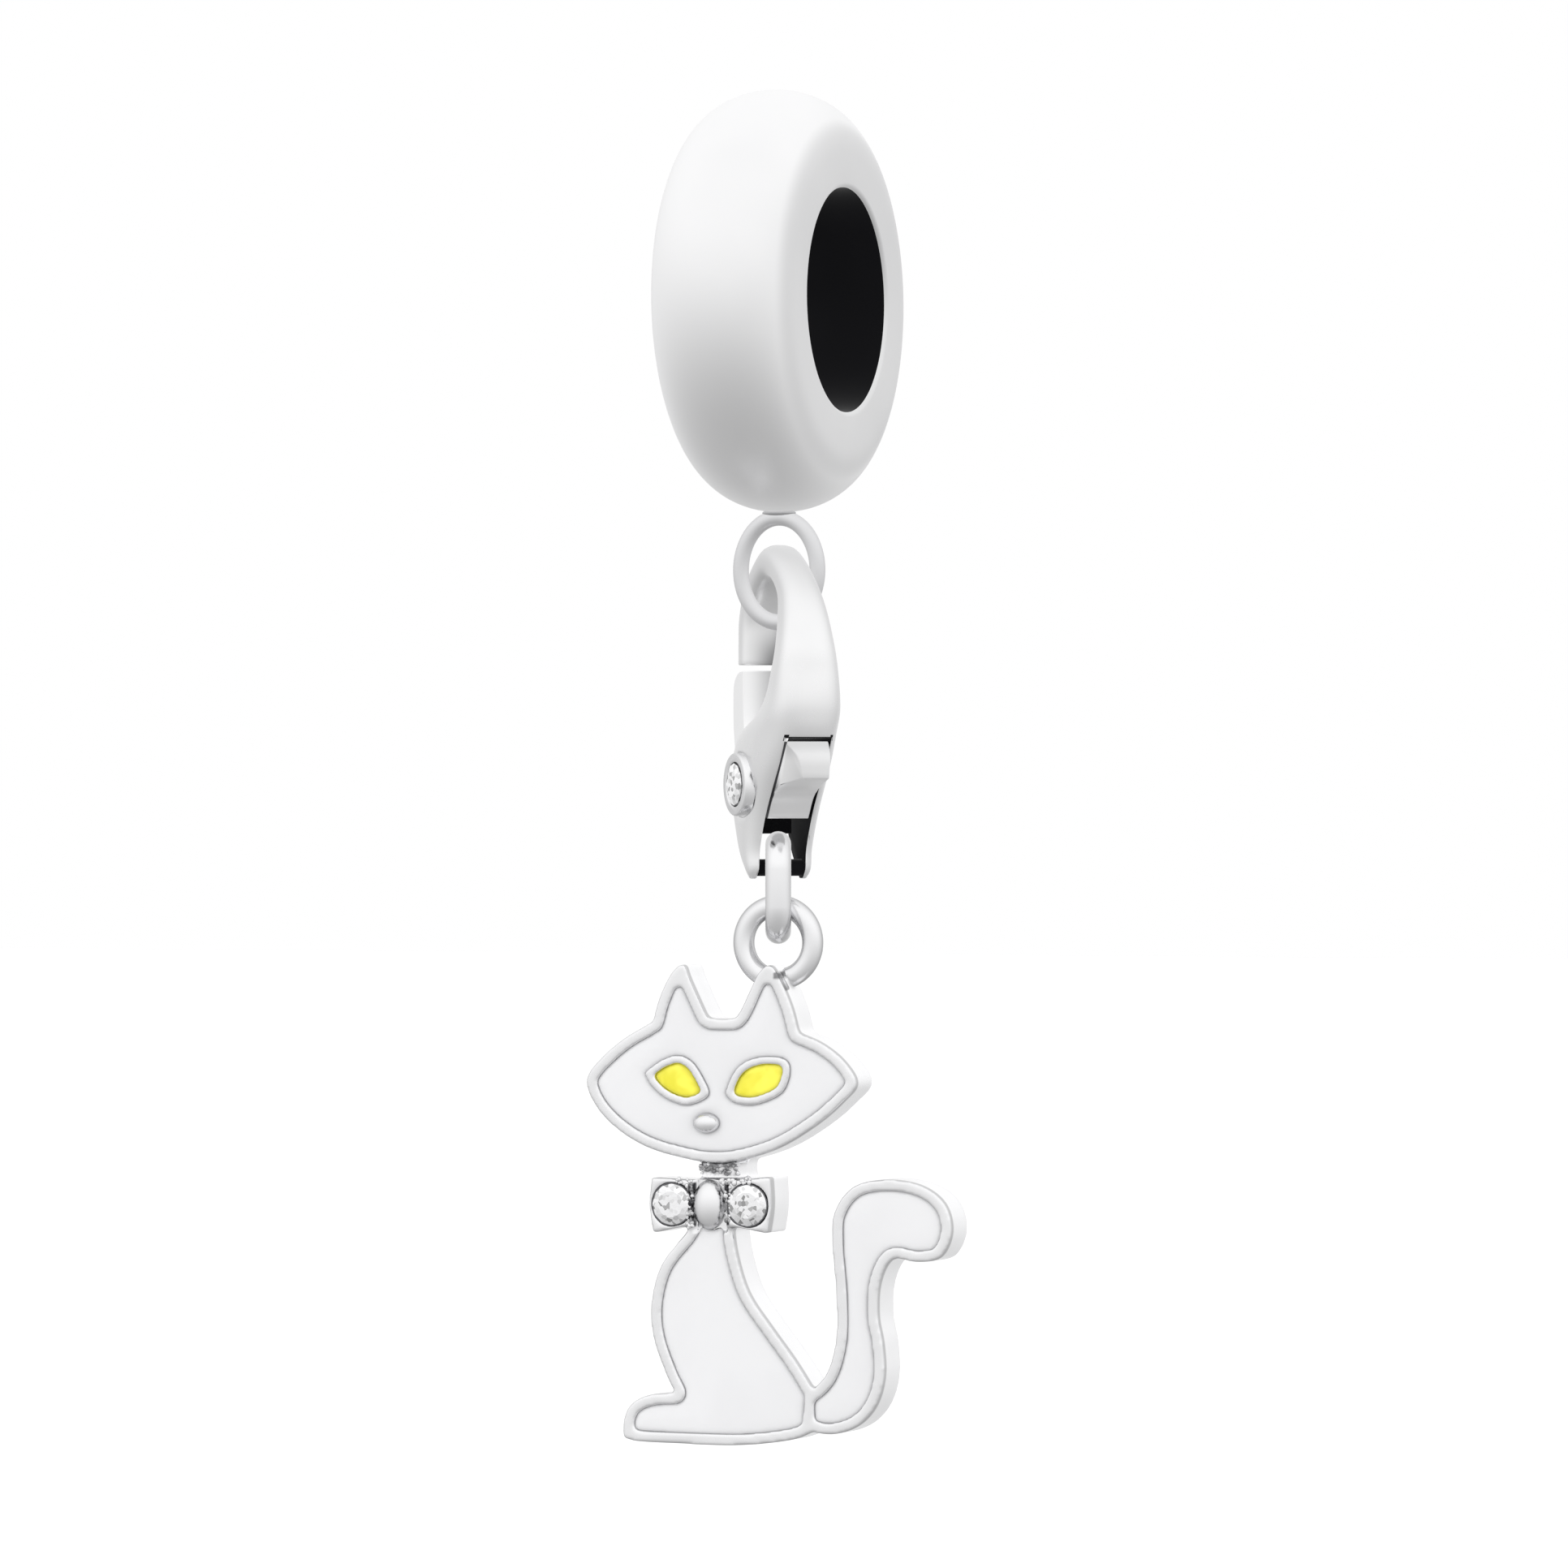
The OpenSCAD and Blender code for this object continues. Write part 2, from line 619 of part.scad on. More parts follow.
// The cat hangs in the XZ plane below its ring. A slab starts at a height above the cat's back.
module in_cat() {
    translate([bar_xy[0], bar_xy[1], ring_z])
        children();
}
module slab(from, to) {
    translate([0, cat_t / 2 - from, 0])
        rotate([90, 0, 0])
            linear_extrude(height = to - from)
                children();
}
module dome(at, w, h, rise, base) {
    translate([at[0], cat_t / 2 - base, at[1]])
        resize([w, 2 * rise, h])
            sphere(d = 1, $fn = dome_fn);
}
module stone_seats() {
    for (side = [-1, 1])
        translate([bow_x + side * stone_x, -cat_t / 2 - bow_rise + seat_depth, bow_z])
            rotate([90, 0, 0])
                cylinder(h = seat_depth + overcut, d = stone_d + 2 * stone_gap, $fn = round_fn);
}
module cat_frame() {
    color(silver)
        in_cat()
            difference() {
                union() {
                    slab(0, floor_t) {
                        head_shape();
                        body_shape();
                        tail_shape();
                    }
                    slab(floor_t - rim_root, cat_t) {
                        difference() {
                            head_shape();
                            cell() head_shape();
                        }
                        difference() {
                            union() {
                                body_shape();
                                tail_shape();
                            }
                            cell() body_shape();
                            cell() tail_shape();
                        }
                        difference() {
                            union() {
                                eye_left_shape();
                                eye_right_shape();
                            }
                            inset(eye_rim) eye_left_shape();
                            inset(eye_rim) eye_right_shape();
                        }
                    }
                    dome(nose_at, nose_w, nose_h, cell_depth + nose_rise, floor_t);
                    slab(neck_margin, cat_t - neck_margin)
                        translate([head_x - neck_w / 2, head_z - neck_h - bow_h / 4])
                            square([neck_w, neck_h + bow_h / 4 + rim_w]);
                    slab(0, cat_t + bow_rise) bow_shape();
                    dome([bow_x, bow_z], knot_w, knot_h, bow_rise + knot_rise, cat_t);
                    wire_ring(oval_path(ring_d - ring_wire, ring_d - ring_wire), ring_wire);
                }
                stone_seats();
            }
}
module enamel_slab() {
    in_cat()
        slab(floor_t + enamel_gap, floor_t + enamel_gap + enamel_t)
            children();
}
module head_enamel() {
    color(white_enamel)
        enamel_slab()
            difference() {
                cell(enamel_gap) head_shape();
                outset(enamel_gap) eye_left_shape();
                outset(enamel_gap) eye_right_shape();
                outset(enamel_gap) nose_shape();
            }
}
module body_enamel() {
    color(white_enamel)
        enamel_slab()
            difference() {
                cell(enamel_gap) body_shape();
                outset(enamel_gap) bow_shape();
                outset(enamel_gap) knot_shape();
            }
}
module tail_enamel() {
    color(white_enamel)
        enamel_slab()
            cell(enamel_gap) tail_shape();
}
module eye_enamel_left() {
    color(yellow_enamel)
        enamel_slab()
            inset(eye_rim + enamel_gap) eye_left_shape();
}
module eye_enamel_right() {
    color(yellow_enamel)
        enamel_slab()
            inset(eye_rim + enamel_gap) eye_right_shape();
}
module bow_crystal(side) {
    color(crystal)
        in_cat()
            translate([bow_x + side * stone_x, -cat_t / 2 - bow_rise, bow_z])
                rotate([90, 0, 0])
                    cut_stone(stone_d, 0.12 * stone_d, seat_depth - stone_gap);
}

bead();
clasp_body();
clasp_lever();
rivet();
clasp_crystal();
link();
cat_frame();
head_enamel();
body_enamel();
tail_enamel();
eye_enamel_left();
eye_enamel_right();
bow_crystal(-1);  // bow_crystal_left
bow_crystal(1);  // bow_crystal_right
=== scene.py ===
# %% [markdown]
# # A dangle charm in a white studio
# The charm is a round spacer bead, a lobster clasp, a long link and a cat of white enamel with a bow
# tie. This lesson loads the solids, gives every visible surface its real softness and finish, and
# lights it like a catalogue picture. Lengths are in metres, and MM turns millimetres into them.

import math
import random

import bmesh
import bpy
from mathutils import Matrix, Vector
from mathutils.kdtree import KDTree


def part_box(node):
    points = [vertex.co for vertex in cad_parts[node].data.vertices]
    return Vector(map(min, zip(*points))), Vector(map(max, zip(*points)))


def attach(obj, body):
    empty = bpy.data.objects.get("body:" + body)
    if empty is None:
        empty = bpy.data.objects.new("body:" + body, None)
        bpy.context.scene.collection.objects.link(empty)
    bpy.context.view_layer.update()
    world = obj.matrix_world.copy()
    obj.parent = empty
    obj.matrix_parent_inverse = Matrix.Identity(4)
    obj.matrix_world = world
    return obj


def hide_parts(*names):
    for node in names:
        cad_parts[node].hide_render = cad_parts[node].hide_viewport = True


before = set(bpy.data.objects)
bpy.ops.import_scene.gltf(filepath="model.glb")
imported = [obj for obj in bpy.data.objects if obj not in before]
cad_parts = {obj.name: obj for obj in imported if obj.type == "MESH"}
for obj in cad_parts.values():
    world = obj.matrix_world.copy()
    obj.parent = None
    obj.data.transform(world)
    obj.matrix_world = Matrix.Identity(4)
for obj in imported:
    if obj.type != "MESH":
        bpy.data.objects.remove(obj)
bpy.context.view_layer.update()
MM = 0.001

# %% [markdown]
# ## Camera
# The bead's bore is an ellipse in the picture, and its width over its height gives the angle: 21
# degrees from the front, at the object's own height. A long lens from 220 mm keeps the wires of the
# far side the same size as those of the near side.

# %% Camera
VIEW_ANGLE = math.radians(21)
DISTANCE = 220 * MM
FRAME_WIDTH = 37.15 * MM
SENSOR = 36
LOOK_RIGHT, LOOK_UP = 0.115 * MM, -11.44 * MM
to_right = Vector((math.cos(VIEW_ANGLE), math.sin(VIEW_ANGLE), 0))
to_viewer = Vector((math.sin(VIEW_ANGLE), -math.cos(VIEW_ANGLE), 0))
target = LOOK_RIGHT * to_right + Vector((0, 0, LOOK_UP))
camera_data = bpy.data.cameras.new("camera")
camera_data.sensor_width = SENSOR
camera_data.lens = SENSOR * DISTANCE / FRAME_WIDTH
camera_data.clip_start = 0.01
camera_data.clip_end = 10
camera = bpy.data.objects.new("camera", camera_data)
camera.location = target + DISTANCE * to_viewer
camera.rotation_euler = (-to_viewer).to_track_quat("-Z", "Y").to_euler()
bpy.context.scene.collection.objects.link(camera)
bpy.context.scene.camera = camera
print("lens in mm:", round(camera_data.lens, 1))

# %% [markdown]
# ## Helpers for node trees
# Most masks in this scene are little sums: a distance, a soft step, a product, the larger of two. Each
# is a node that can be placed by hand in the Shader Editor. Functions that place and link one are
# shorter to read, and they take numbers and sockets alike.

# %% Helpers for node trees
UP = (0, 0, 1)


def math_node(tree, operation, a, b=None, clamp=False):
    """A Math node whose inputs are numbers or sockets."""
    node = tree.nodes.new("ShaderNodeMath")
    node.operation = operation
    node.use_clamp = clamp
    for socket, value in zip(node.inputs, (a, b)):
        if isinstance(value, bpy.types.NodeSocket):
            tree.links.new(value, socket)
        elif value is not None:
            socket.default_value = value
    return node.outputs[0]


def times(tree, first, *others):
    """The product of numbers and sockets."""
    for value in others:
        first = math_node(tree, "MULTIPLY", first, value)
    return first


def most(tree, first, *others):
    """The largest of some sockets."""
    for value in others:
        first = math_node(tree, "MAXIMUM", first, value)
    return first


def ramp(tree, value, low, high, at_low=0.0, at_high=1.0):
    """A smooth step of a socket, from one value at low to another at high."""
    node = tree.nodes.new("ShaderNodeMapRange")
    node.interpolation_type = "SMOOTHSTEP"
    tree.links.new(value, node.inputs["Value"])
    settings = {"From Min": low, "From Max": high, "To Min": at_low, "To Max": at_high}
    for name, number in settings.items():
        node.inputs[name].default_value = number
    return node.outputs["Result"]


def along(tree, place, way):
    """How far a place lies in a direction."""
    dot = tree.nodes.new("ShaderNodeVectorMath")
    dot.operation = "DOT_PRODUCT"
    dot.inputs[1].default_value = way
    tree.links.new(place, dot.inputs[0])
    return dot.outputs["Value"]


def parts_of(tree, place):
    """The X, Y and Z of a place, as sockets."""
    node = tree.nodes.new("ShaderNodeSeparateXYZ")
    tree.links.new(place, node.inputs[0])
    return node.outputs


# %% [markdown]
# ## Studio
# Polished silver shows nothing but its surroundings, so the surroundings are the finish. A white room
# that falls off towards the ground gives soft grey slopes. Only mirrored rays see the fall-off, and
# every other ray sees plain white. Black cards beside the object would draw its edges, but they turn
# into patches when it is seen from another side, so here each metal greys its own edges.

# %% Room light
GLOW_HEIGHTS = (-1.1, 0.6)
GLOW_STRENGTHS = (0.50, 1.08)
world = bpy.data.worlds.new("white_room")
bpy.context.scene.world = world
world.use_nodes = True
tree = world.node_tree
tree.nodes.clear()
output = tree.nodes.new("ShaderNodeOutputWorld")
direction = tree.nodes.new("ShaderNodeTexCoord").outputs["Generated"]
glow = ramp(tree, along(tree, direction, UP), *GLOW_HEIGHTS, *GLOW_STRENGTHS)
ray = tree.nodes.new("ShaderNodeLightPath")
mix = tree.nodes.new("ShaderNodeMix")
tree.links.new(ray.outputs["Is Glossy Ray"], mix.inputs["Factor"])
mix.inputs["A"].default_value = 1.0
tree.links.new(glow, mix.inputs["B"])
background = tree.nodes.new("ShaderNodeBackground")
background.inputs["Color"].default_value = (1, 1, 1, 1)
tree.links.new(mix.outputs["Result"], background.inputs["Strength"])
tree.links.new(background.outputs[0], output.inputs["Surface"])
bpy.context.scene.view_settings.view_transform = "Standard"
print("room light:", len(tree.nodes), "nodes")

# %% [markdown]
# Two soft boxes give the shapes their light and dark side, a large one from the left and a small one
# from the right. A lamp that is mirrored leaves a hard white square on silver, so they are hidden from
# reflections and only light the object.


# %% Soft boxes
def soft_box(name, place, size, radiance):
    """A square area light that faces the charm. Its power follows from its size and brightness."""
    data = bpy.data.lights.new(name, "AREA")
    data.size = size
    data.energy = radiance * math.pi * size ** 2
    light = bpy.data.objects.new(name, data)
    light.location = place
    light.rotation_euler = (target - Vector(place)).to_track_quat("-Z", "Y").to_euler()
    light.visible_glossy = False
    bpy.context.scene.collection.objects.link(light)
    print(name, "watts:", round(data.energy, 3))


soft_box("left_box", place=(-0.16, -0.20, 0.12), size=0.26, radiance=1.35)
soft_box("right_box", place=(0.22, -0.10, 0.10), size=0.12, radiance=1.2)

# %% [markdown]
# The floor lies well below the cat, which hangs free. It glows a little, so that it melts together with
# the white room, and it isn't mirrored either.


# %% Floor
def simple_material(name):
    """A material with a Principled shader, and its tree and shader."""
    material = bpy.data.materials.new(name)
    material.use_nodes = True
    return material, material.node_tree, material.node_tree.nodes["Principled BSDF"]


FLOOR_HEIGHT, FLOOR_HALF = -45 * MM, 1.5
floor_mesh = bpy.data.meshes.new("floor")
bm = bmesh.new()
bmesh.ops.create_grid(bm, x_segments=1, y_segments=1, size=FLOOR_HALF,
                      matrix=Matrix.Translation((0, 0, FLOOR_HEIGHT)))
bm.to_mesh(floor_mesh)
bm.free()
floor = bpy.data.objects.new("floor", floor_mesh)
bpy.context.scene.collection.objects.link(floor)
floor_material, _, shader = simple_material("pale_floor")
shader.inputs["Base Color"].default_value = (0.96, 0.96, 0.96, 1)
shader.inputs["Roughness"].default_value = 0.9
shader.inputs["Emission Color"].default_value = (1, 1, 1, 1)
shader.inputs["Emission Strength"].default_value = 0.12
floor_mesh.materials.append(floor_material)
floor.visible_glossy = False
print("floor at mm:", round(FLOOR_HEIGHT / MM, 1))

# %% [markdown]
# ## Finishes
# Rhodium-bright silver has almost no colour of its own. What tells it from a mirror is the polish: very
# fine scratches and a faint waviness left by the wheel, with painted shade, a little rougher, in the
# hollows. Those are one node group with named inputs, used by all the metals, so that one change
# reaches them all.


# %% Helpers for materials
def group_of(name, inputs, outputs):
    """An empty shader node group with float, colour or vector sockets, and its two end nodes."""
    group = bpy.data.node_groups.new(name, "ShaderNodeTree")
    for label, kind, value in inputs:
        socket = group.interface.new_socket(name=label, in_out="INPUT", socket_type=kind)
        if value is not None:
            socket.default_value = value
    for label, kind in outputs:
        group.interface.new_socket(name=label, in_out="OUTPUT", socket_type=kind)
    return group, group.nodes.new("NodeGroupInput"), group.nodes.new("NodeGroupOutput")


def noise_in(tree, scale, detail, vector, distortion=0.0):
    """A Noise texture on a vector, whose scale is a socket or a number."""
    noise = tree.nodes.new("ShaderNodeTexNoise")
    noise.inputs["Detail"].default_value = detail
    noise.inputs["Distortion"].default_value = distortion
    if isinstance(scale, bpy.types.NodeSocket):
        tree.links.new(scale, noise.inputs["Scale"])
    else:
        noise.inputs["Scale"].default_value = scale
    tree.links.new(vector, noise.inputs["Vector"])
    return noise.outputs["Fac"]


def mix_colours(tree, factor, a, b):
    """Mixes two colours or colour sockets by a factor socket."""
    node = tree.nodes.new("ShaderNodeMix")
    node.data_type = "RGBA"
    tree.links.new(factor, node.inputs["Factor"])
    for socket, value in ((node.inputs[6], a), (node.inputs[7], b)):
        if isinstance(value, bpy.types.NodeSocket):
            tree.links.new(value, socket)
        else:
            socket.default_value = value
    return node.outputs[2]


def add_bump(tree, shader, height, strength, distance):
    """Feeds a height to a shader's normal through a Bump node."""
    bump = tree.nodes.new("ShaderNodeBump")
    bump.inputs["Strength"].default_value = strength
    bump.inputs["Distance"].default_value = distance
    tree.links.new(height, bump.inputs["Height"])
    tree.links.new(bump.outputs["Normal"], shader.inputs["Normal"])


# %% [markdown]
# The group has two noises. The slow one is the wheel's waviness and the faint stain, and the fine one
# is the scratch grain. Dark is a mask from outside, for painted shade in hollows and on dim sides: there
# the colour goes to Stain and Shade and the surface gets rougher.

# %% Node group for polished metal
STAIN_FROM, STAIN_SHARE = 0.45, 0.15
ROUGH_SPREAD, ROUGH_IN_DARK = 0.04, 0.25
WAVE_SHARE, GRAIN_SHARE = 0.6, 0.08
F, C, V = "NodeSocketFloat", "NodeSocketColor", "NodeSocketVector"
polish, inside, outside = group_of(
    "polish",
    [("Vector", V, None), ("Colour", C, (0.9, 0.9, 0.91, 1)), ("Stain and Shade", C, (0.62, 0.62, 0.63, 1)),
     ("Roughness", F, 0.1), ("Wave Scale", F, 700.0), ("Grain Scale", F, 6000.0), ("Dark", F, 0.0)],
    [("Colour", C), ("Roughness", F), ("Height", F)])
slow = noise_in(polish, inside.outputs["Wave Scale"], 2, inside.outputs["Vector"])
fine = noise_in(polish, inside.outputs["Grain Scale"], 4, inside.outputs["Vector"])
stain_and_shade = times(polish, math_node(polish, "SUBTRACT", slow, STAIN_FROM, clamp=True), STAIN_SHARE)
# The Dark mask is painted shade, added on top of the real stain.
stain_and_shade = math_node(polish, "ADD", stain_and_shade, inside.outputs["Dark"], clamp=True)
colour = mix_colours(polish, stain_and_shade, inside.outputs["Colour"], inside.outputs["Stain and Shade"])
polish.links.new(colour, outside.inputs["Colour"])
spread = times(polish, math_node(polish, "SUBTRACT", fine, 0.5), ROUGH_SPREAD)
rough = math_node(polish, "ADD", inside.outputs["Roughness"], spread)
in_dark = times(polish, inside.outputs["Dark"], ROUGH_IN_DARK)
polish.links.new(math_node(polish, "ADD", rough, in_dark, clamp=True), outside.inputs["Roughness"])
height = math_node(polish, "ADD", times(polish, slow, WAVE_SHARE), times(polish, fine, GRAIN_SHARE))
polish.links.new(height, outside.inputs["Height"])
print("group:", polish.name, len(polish.nodes), "nodes")

# %% [markdown]
# A metal is a Principled shader at full Metallic, fed by the group. Where a polished surface curves
# away, it mirrors the dim sides of a studio, which this plain room doesn't have. A Layer Weight node
# lowers what the metal mirrors there, and it stays outside the group, because the export needs that.

# %% Metal
# The tone of real stains and of painted shade.
STAIN_AND_SHADE_TONE = (0.05, 0.05, 0.055, 1)
EDGE_GREY = (0.10, 0.10, 0.105, 1)


def metal(name, colour, roughness, wave=700.0, bump=0.15, depth=0.01 * MM, dark=None,
          edge=0.0, edge_from=0.15, edge_to=0.85, zone=None):
    """A metal with the polish group. dark gives a socket for places of painted shade, and edge is how
    grey the metal turns where it curves away from the eye, within the zone given."""
    material, tree, shader = simple_material(name)
    shader.inputs["Metallic"].default_value = 1.0
    place = tree.nodes.new("ShaderNodeTexCoord").outputs["Object"]
    group = tree.nodes.new("ShaderNodeGroup")
    group.node_tree = polish
    tree.links.new(place, group.inputs["Vector"])
    group.inputs["Colour"].default_value = (*colour, 1)
    group.inputs["Roughness"].default_value = roughness
    group.inputs["Wave Scale"].default_value = wave
    if dark:
        group.inputs["Stain and Shade"].default_value = STAIN_AND_SHADE_TONE
        tree.links.new(dark(tree, place), group.inputs["Dark"])
    turned = tree.nodes.new("ShaderNodeLayerWeight")
    turned.inputs["Blend"].default_value = 0.5
    contour = times(tree, ramp(tree, turned.outputs["Facing"], edge_from, edge_to), edge)
    if zone:
        contour = times(tree, contour, zone(tree, place))
    base = mix_colours(tree, contour, group.outputs["Colour"], EDGE_GREY)
    tree.links.new(base, shader.inputs["Base Color"])
    tree.links.new(group.outputs["Roughness"], shader.inputs["Roughness"])
    add_bump(tree, shader, group.outputs["Height"], bump, depth)
    return material


# %% [markdown]
# The bead is satin all round, and its two flat sides are painted a little darker, as shade, and made
# a little rougher. A mask on the distance from the middle does that, because the sides are simply the
# places furthest out.

# %% Painted shade on the bead's sides
# Where the painted shade of the sides lies, and how dark it is.
SIDES_AT, SIDES_SHADE = (1.5 * MM, 1.72 * MM), 0.17


def side_shadow(tree, place):
    """Painted shade: the flat sides of the bead are a little darker, and rougher."""
    out = math_node(tree, "ABSOLUTE", parts_of(tree, place)["X"])
    return times(tree, ramp(tree, out, *SIDES_AT), SIDES_SHADE)


# %% [markdown]
# The clasp is painted darker where two faces stand close together and shade falls: in its slot and
# inside the hook, and the hook's top is painted a little darker too. A renderer finds some of that
# shade by itself, and the rest is painted shade. The clasp is turned, so the masks measure along its
# own directions: towards its nose, and towards the side of its crystal.

# %% Painted shade of the clasp
CLASP_TURN = math.radians(132)
NOSE_WAY = Vector((math.cos(CLASP_TURN), math.sin(CLASP_TURN), 0))
CRYSTAL_WAY = Vector((-math.sin(CLASP_TURN), math.cos(CLASP_TURN), 0))
FACE_NEAR, FACE_FAR, FACE_ACROSS = (0.6 * MM, 1.0 * MM), (1.6 * MM, 1.2 * MM), (0.5 * MM, -0.4 * MM)
# Where the painted shade on the hook's top and tip lies, and how dark it is.
HOOK_TOP, TOP_SHADE = (-8.6 * MM, -6.6 * MM), 0.10
HOOK_TIP, TIP_LEAST, TIP_SHADE = (-7.6 * MM, -8.6 * MM), 0.35, 0.55


def inner_face(tree, place):
    """Painted shade on the faces inside the hook's opening, darker towards the side away from the
    crystal.
    """
    reach = along(tree, place, NOSE_WAY)
    across = along(tree, place, CRYSTAL_WAY)
    return times(tree, ramp(tree, reach, *FACE_NEAR), ramp(tree, reach, *FACE_FAR),
                 ramp(tree, across, *FACE_ACROSS))


def hook_shadow(tree, place):
    """Painted shade: the hook's top and the inner face of its tip are darkened."""
    height = along(tree, place, UP)
    low = math_node(tree, "ADD", ramp(tree, height, *HOOK_TIP), TIP_LEAST)
    tip = times(tree, inner_face(tree, place), low, TIP_SHADE)
    return most(tree, times(tree, ramp(tree, height, *HOOK_TOP), TOP_SHADE), tip)


print("nose way:", [round(v, 3) for v in NOSE_WAY], "crystal way:", [round(v, 3) for v in CRYSTAL_WAY])

# %% [markdown]
# The lever sits in the slot, and what stays inside is painted black as shade. The slot's mouth slants,
# so its line is measured along a slanted direction. The gate's inner face and the top of the thumb tab
# get a lighter painted shade.

# %% Painted shade of the lever
LEVER_SIDES = (0.50 * MM, 0.525 * MM)
MOUTH_SLOPE, MOUTH_LINE = 0.716, (-9.42 * MM, -9.36 * MM)
MOUTH_REACH, MOUTH_HEIGHT = (0.9 * MM, 0.8 * MM), (-10.2 * MM, -10.35 * MM)
TAB_HEIGHT, TAB_REACH = (-10.95 * MM, -10.5 * MM), (-0.8 * MM, -1.0 * MM)
# How dark the painted shade on the gate and on the tab is.
GATE_SHADE, TAB_SHADE = 0.5, 0.3


def gate_shadow(tree, place):
    """Painted shade: the lever's sides are black inside the slot, the gate's inner face and the tab's top
    darker.
    """
    height = along(tree, place, UP)
    reach = along(tree, place, NOSE_WAY)
    sides = ramp(tree, math_node(tree, "ABSOLUTE", along(tree, place, CRYSTAL_WAY)), *LEVER_SIDES)
    slant = along(tree, place, NOSE_WAY + MOUTH_SLOPE * Vector(UP))
    in_slot = times(tree, ramp(tree, slant, *MOUTH_LINE), ramp(tree, reach, *MOUTH_REACH),
                    ramp(tree, height, *MOUTH_HEIGHT))
    tab = times(tree, ramp(tree, height, *TAB_HEIGHT), ramp(tree, reach, *TAB_REACH), TAB_SHADE)
    gate = times(tree, inner_face(tree, place), GATE_SHADE)
    return most(tree, times(tree, sides, in_slot), gate, tab)


# %% [markdown]
# The casting gets painted shade in its hollows: at the cat's neck, at the foot of its ring and beside
# the knot. Each place is a soft box seen from the front, and a noise breaks it up into grain. The rims
# are painted a touch darker than the walls, as shade, with a weak mask of their own.

# %% Painted shade of the casting
BOW_AT = Vector((-1.513 * MM, -0.675 * MM, -21.41 * MM))
BAR_AT = Vector((-0.0401 * MM, 0.0446 * MM, 0))
RIM_DEPTHS = (BAR_AT.y - 0.36 * MM, BAR_AT.y - 0.46 * MM)
HOLLOWS = {
    # start, across and up from it, half width, half height and soft border, in mm
    "neck": (BOW_AT, 0.0, 0.86, 0.52, 0.13, 0.09),
    "foot": (BAR_AT, 0.24, -15.96, 0.10, 0.05, 0.08),
    "left": (BOW_AT, -0.47, 0.0, 0.04, 0.5, 0.05),
    "right": (BOW_AT, 0.45, 0.05, 0.03, 0.5, 0.05),
}
SHADE_NOISE_SCALE, SHADE_NOISE_STEP = 4500.0, (0.35, 0.62)
# How dark the painted shade at the neck and on the rims is.
NECK_SHADE, RIM_SHADE = 0.7, 0.05


def hollow_mask(tree, place, name):
    """1 inside a box seen from the front and 0 outside, with soft borders."""
    start, across, up, half_x, half_z, soft = HOLLOWS[name]
    centre = start + Vector((across * MM, 0, up * MM))
    parts = parts_of(tree, place)
    masks = []
    for axis, middle, half in (("X", centre.x, half_x * MM), ("Z", centre.z, half_z * MM)):
        off = math_node(tree, "ABSOLUTE", math_node(tree, "SUBTRACT", parts[axis], middle))
        masks.append(ramp(tree, off, half + soft * MM, half))
    return times(tree, *masks)


def rim_zone(tree, place):
    """1 near the front of the cat, where the rims are, and 0 on its walls."""
    return ramp(tree, parts_of(tree, place)["Y"], *RIM_DEPTHS)


def cast_shadow(tree, place):
    """Painted shade broken into grain at the neck, under the ring and beside the knot, and faint shade on
    the rims.
    """
    hollow = {name: hollow_mask(tree, place, name) for name in HOLLOWS}
    rims = rim_zone(tree, place)
    neck = times(tree, most(tree, hollow["neck"], hollow["foot"]), NECK_SHADE)
    sides = times(tree, most(tree, hollow["left"], hollow["right"]), rims)
    shade_noise = ramp(tree, noise_in(tree, SHADE_NOISE_SCALE, 2, place), *SHADE_NOISE_STEP)
    return most(tree, times(tree, most(tree, neck, sides), shade_noise), times(tree, rims, RIM_SHADE))


print("hollows:", list(HOLLOWS))

# %% [markdown]
# Each part left the workshop with its own polish: the bead satin, its loop matt, the clasp bright and
# the casting glossier still. Inside the bore and the slot the silver is painted black, as shade. A black
# metal would still mirror the white room at a slant, so this painted shade is a dull black that isn't
# metallic.

# %% The metals
satin_silver = metal("satin_silver", (0.90, 0.90, 0.905), 0.36, wave=250.0, bump=0.1, dark=side_shadow)
polished_silver = metal("polished_silver", (0.90, 0.90, 0.91), 0.20, wave=500.0, edge=0.45, edge_from=0.1)
loop_silver = metal("loop_silver", (0.75, 0.75, 0.76), 0.40, wave=500.0, bump=0.05, edge=0.15)
clasp_silver = metal("clasp_silver", (0.95, 0.95, 0.955), 0.28, wave=500.0, bump=0.03,
                     dark=hook_shadow, edge=0.24, edge_from=0.08, edge_to=0.6)
lever_silver = metal("lever_silver", (0.97, 0.97, 0.975), 0.30, wave=500.0, bump=0.03,
                     dark=gate_shadow, edge=0.12)
cast_silver = metal("cast_silver", (0.96, 0.96, 0.97), 0.20, wave=900.0, bump=0.1, dark=cast_shadow,
                    edge=0.50, edge_from=0.08, edge_to=0.75, zone=rim_zone)
knot_silver = metal("knot_silver", (0.90, 0.90, 0.91), 0.22, wave=900.0, edge=0.72, edge_from=0.05,
                    edge_to=0.9)
solder_silver = metal("solder_silver", (0.50, 0.50, 0.51), 0.40)
# Painted shade: a dark metal for the thin rings round the crystals.
gap_shade_silver = metal("gap_shade_silver", (0.16, 0.16, 0.17), 0.35)
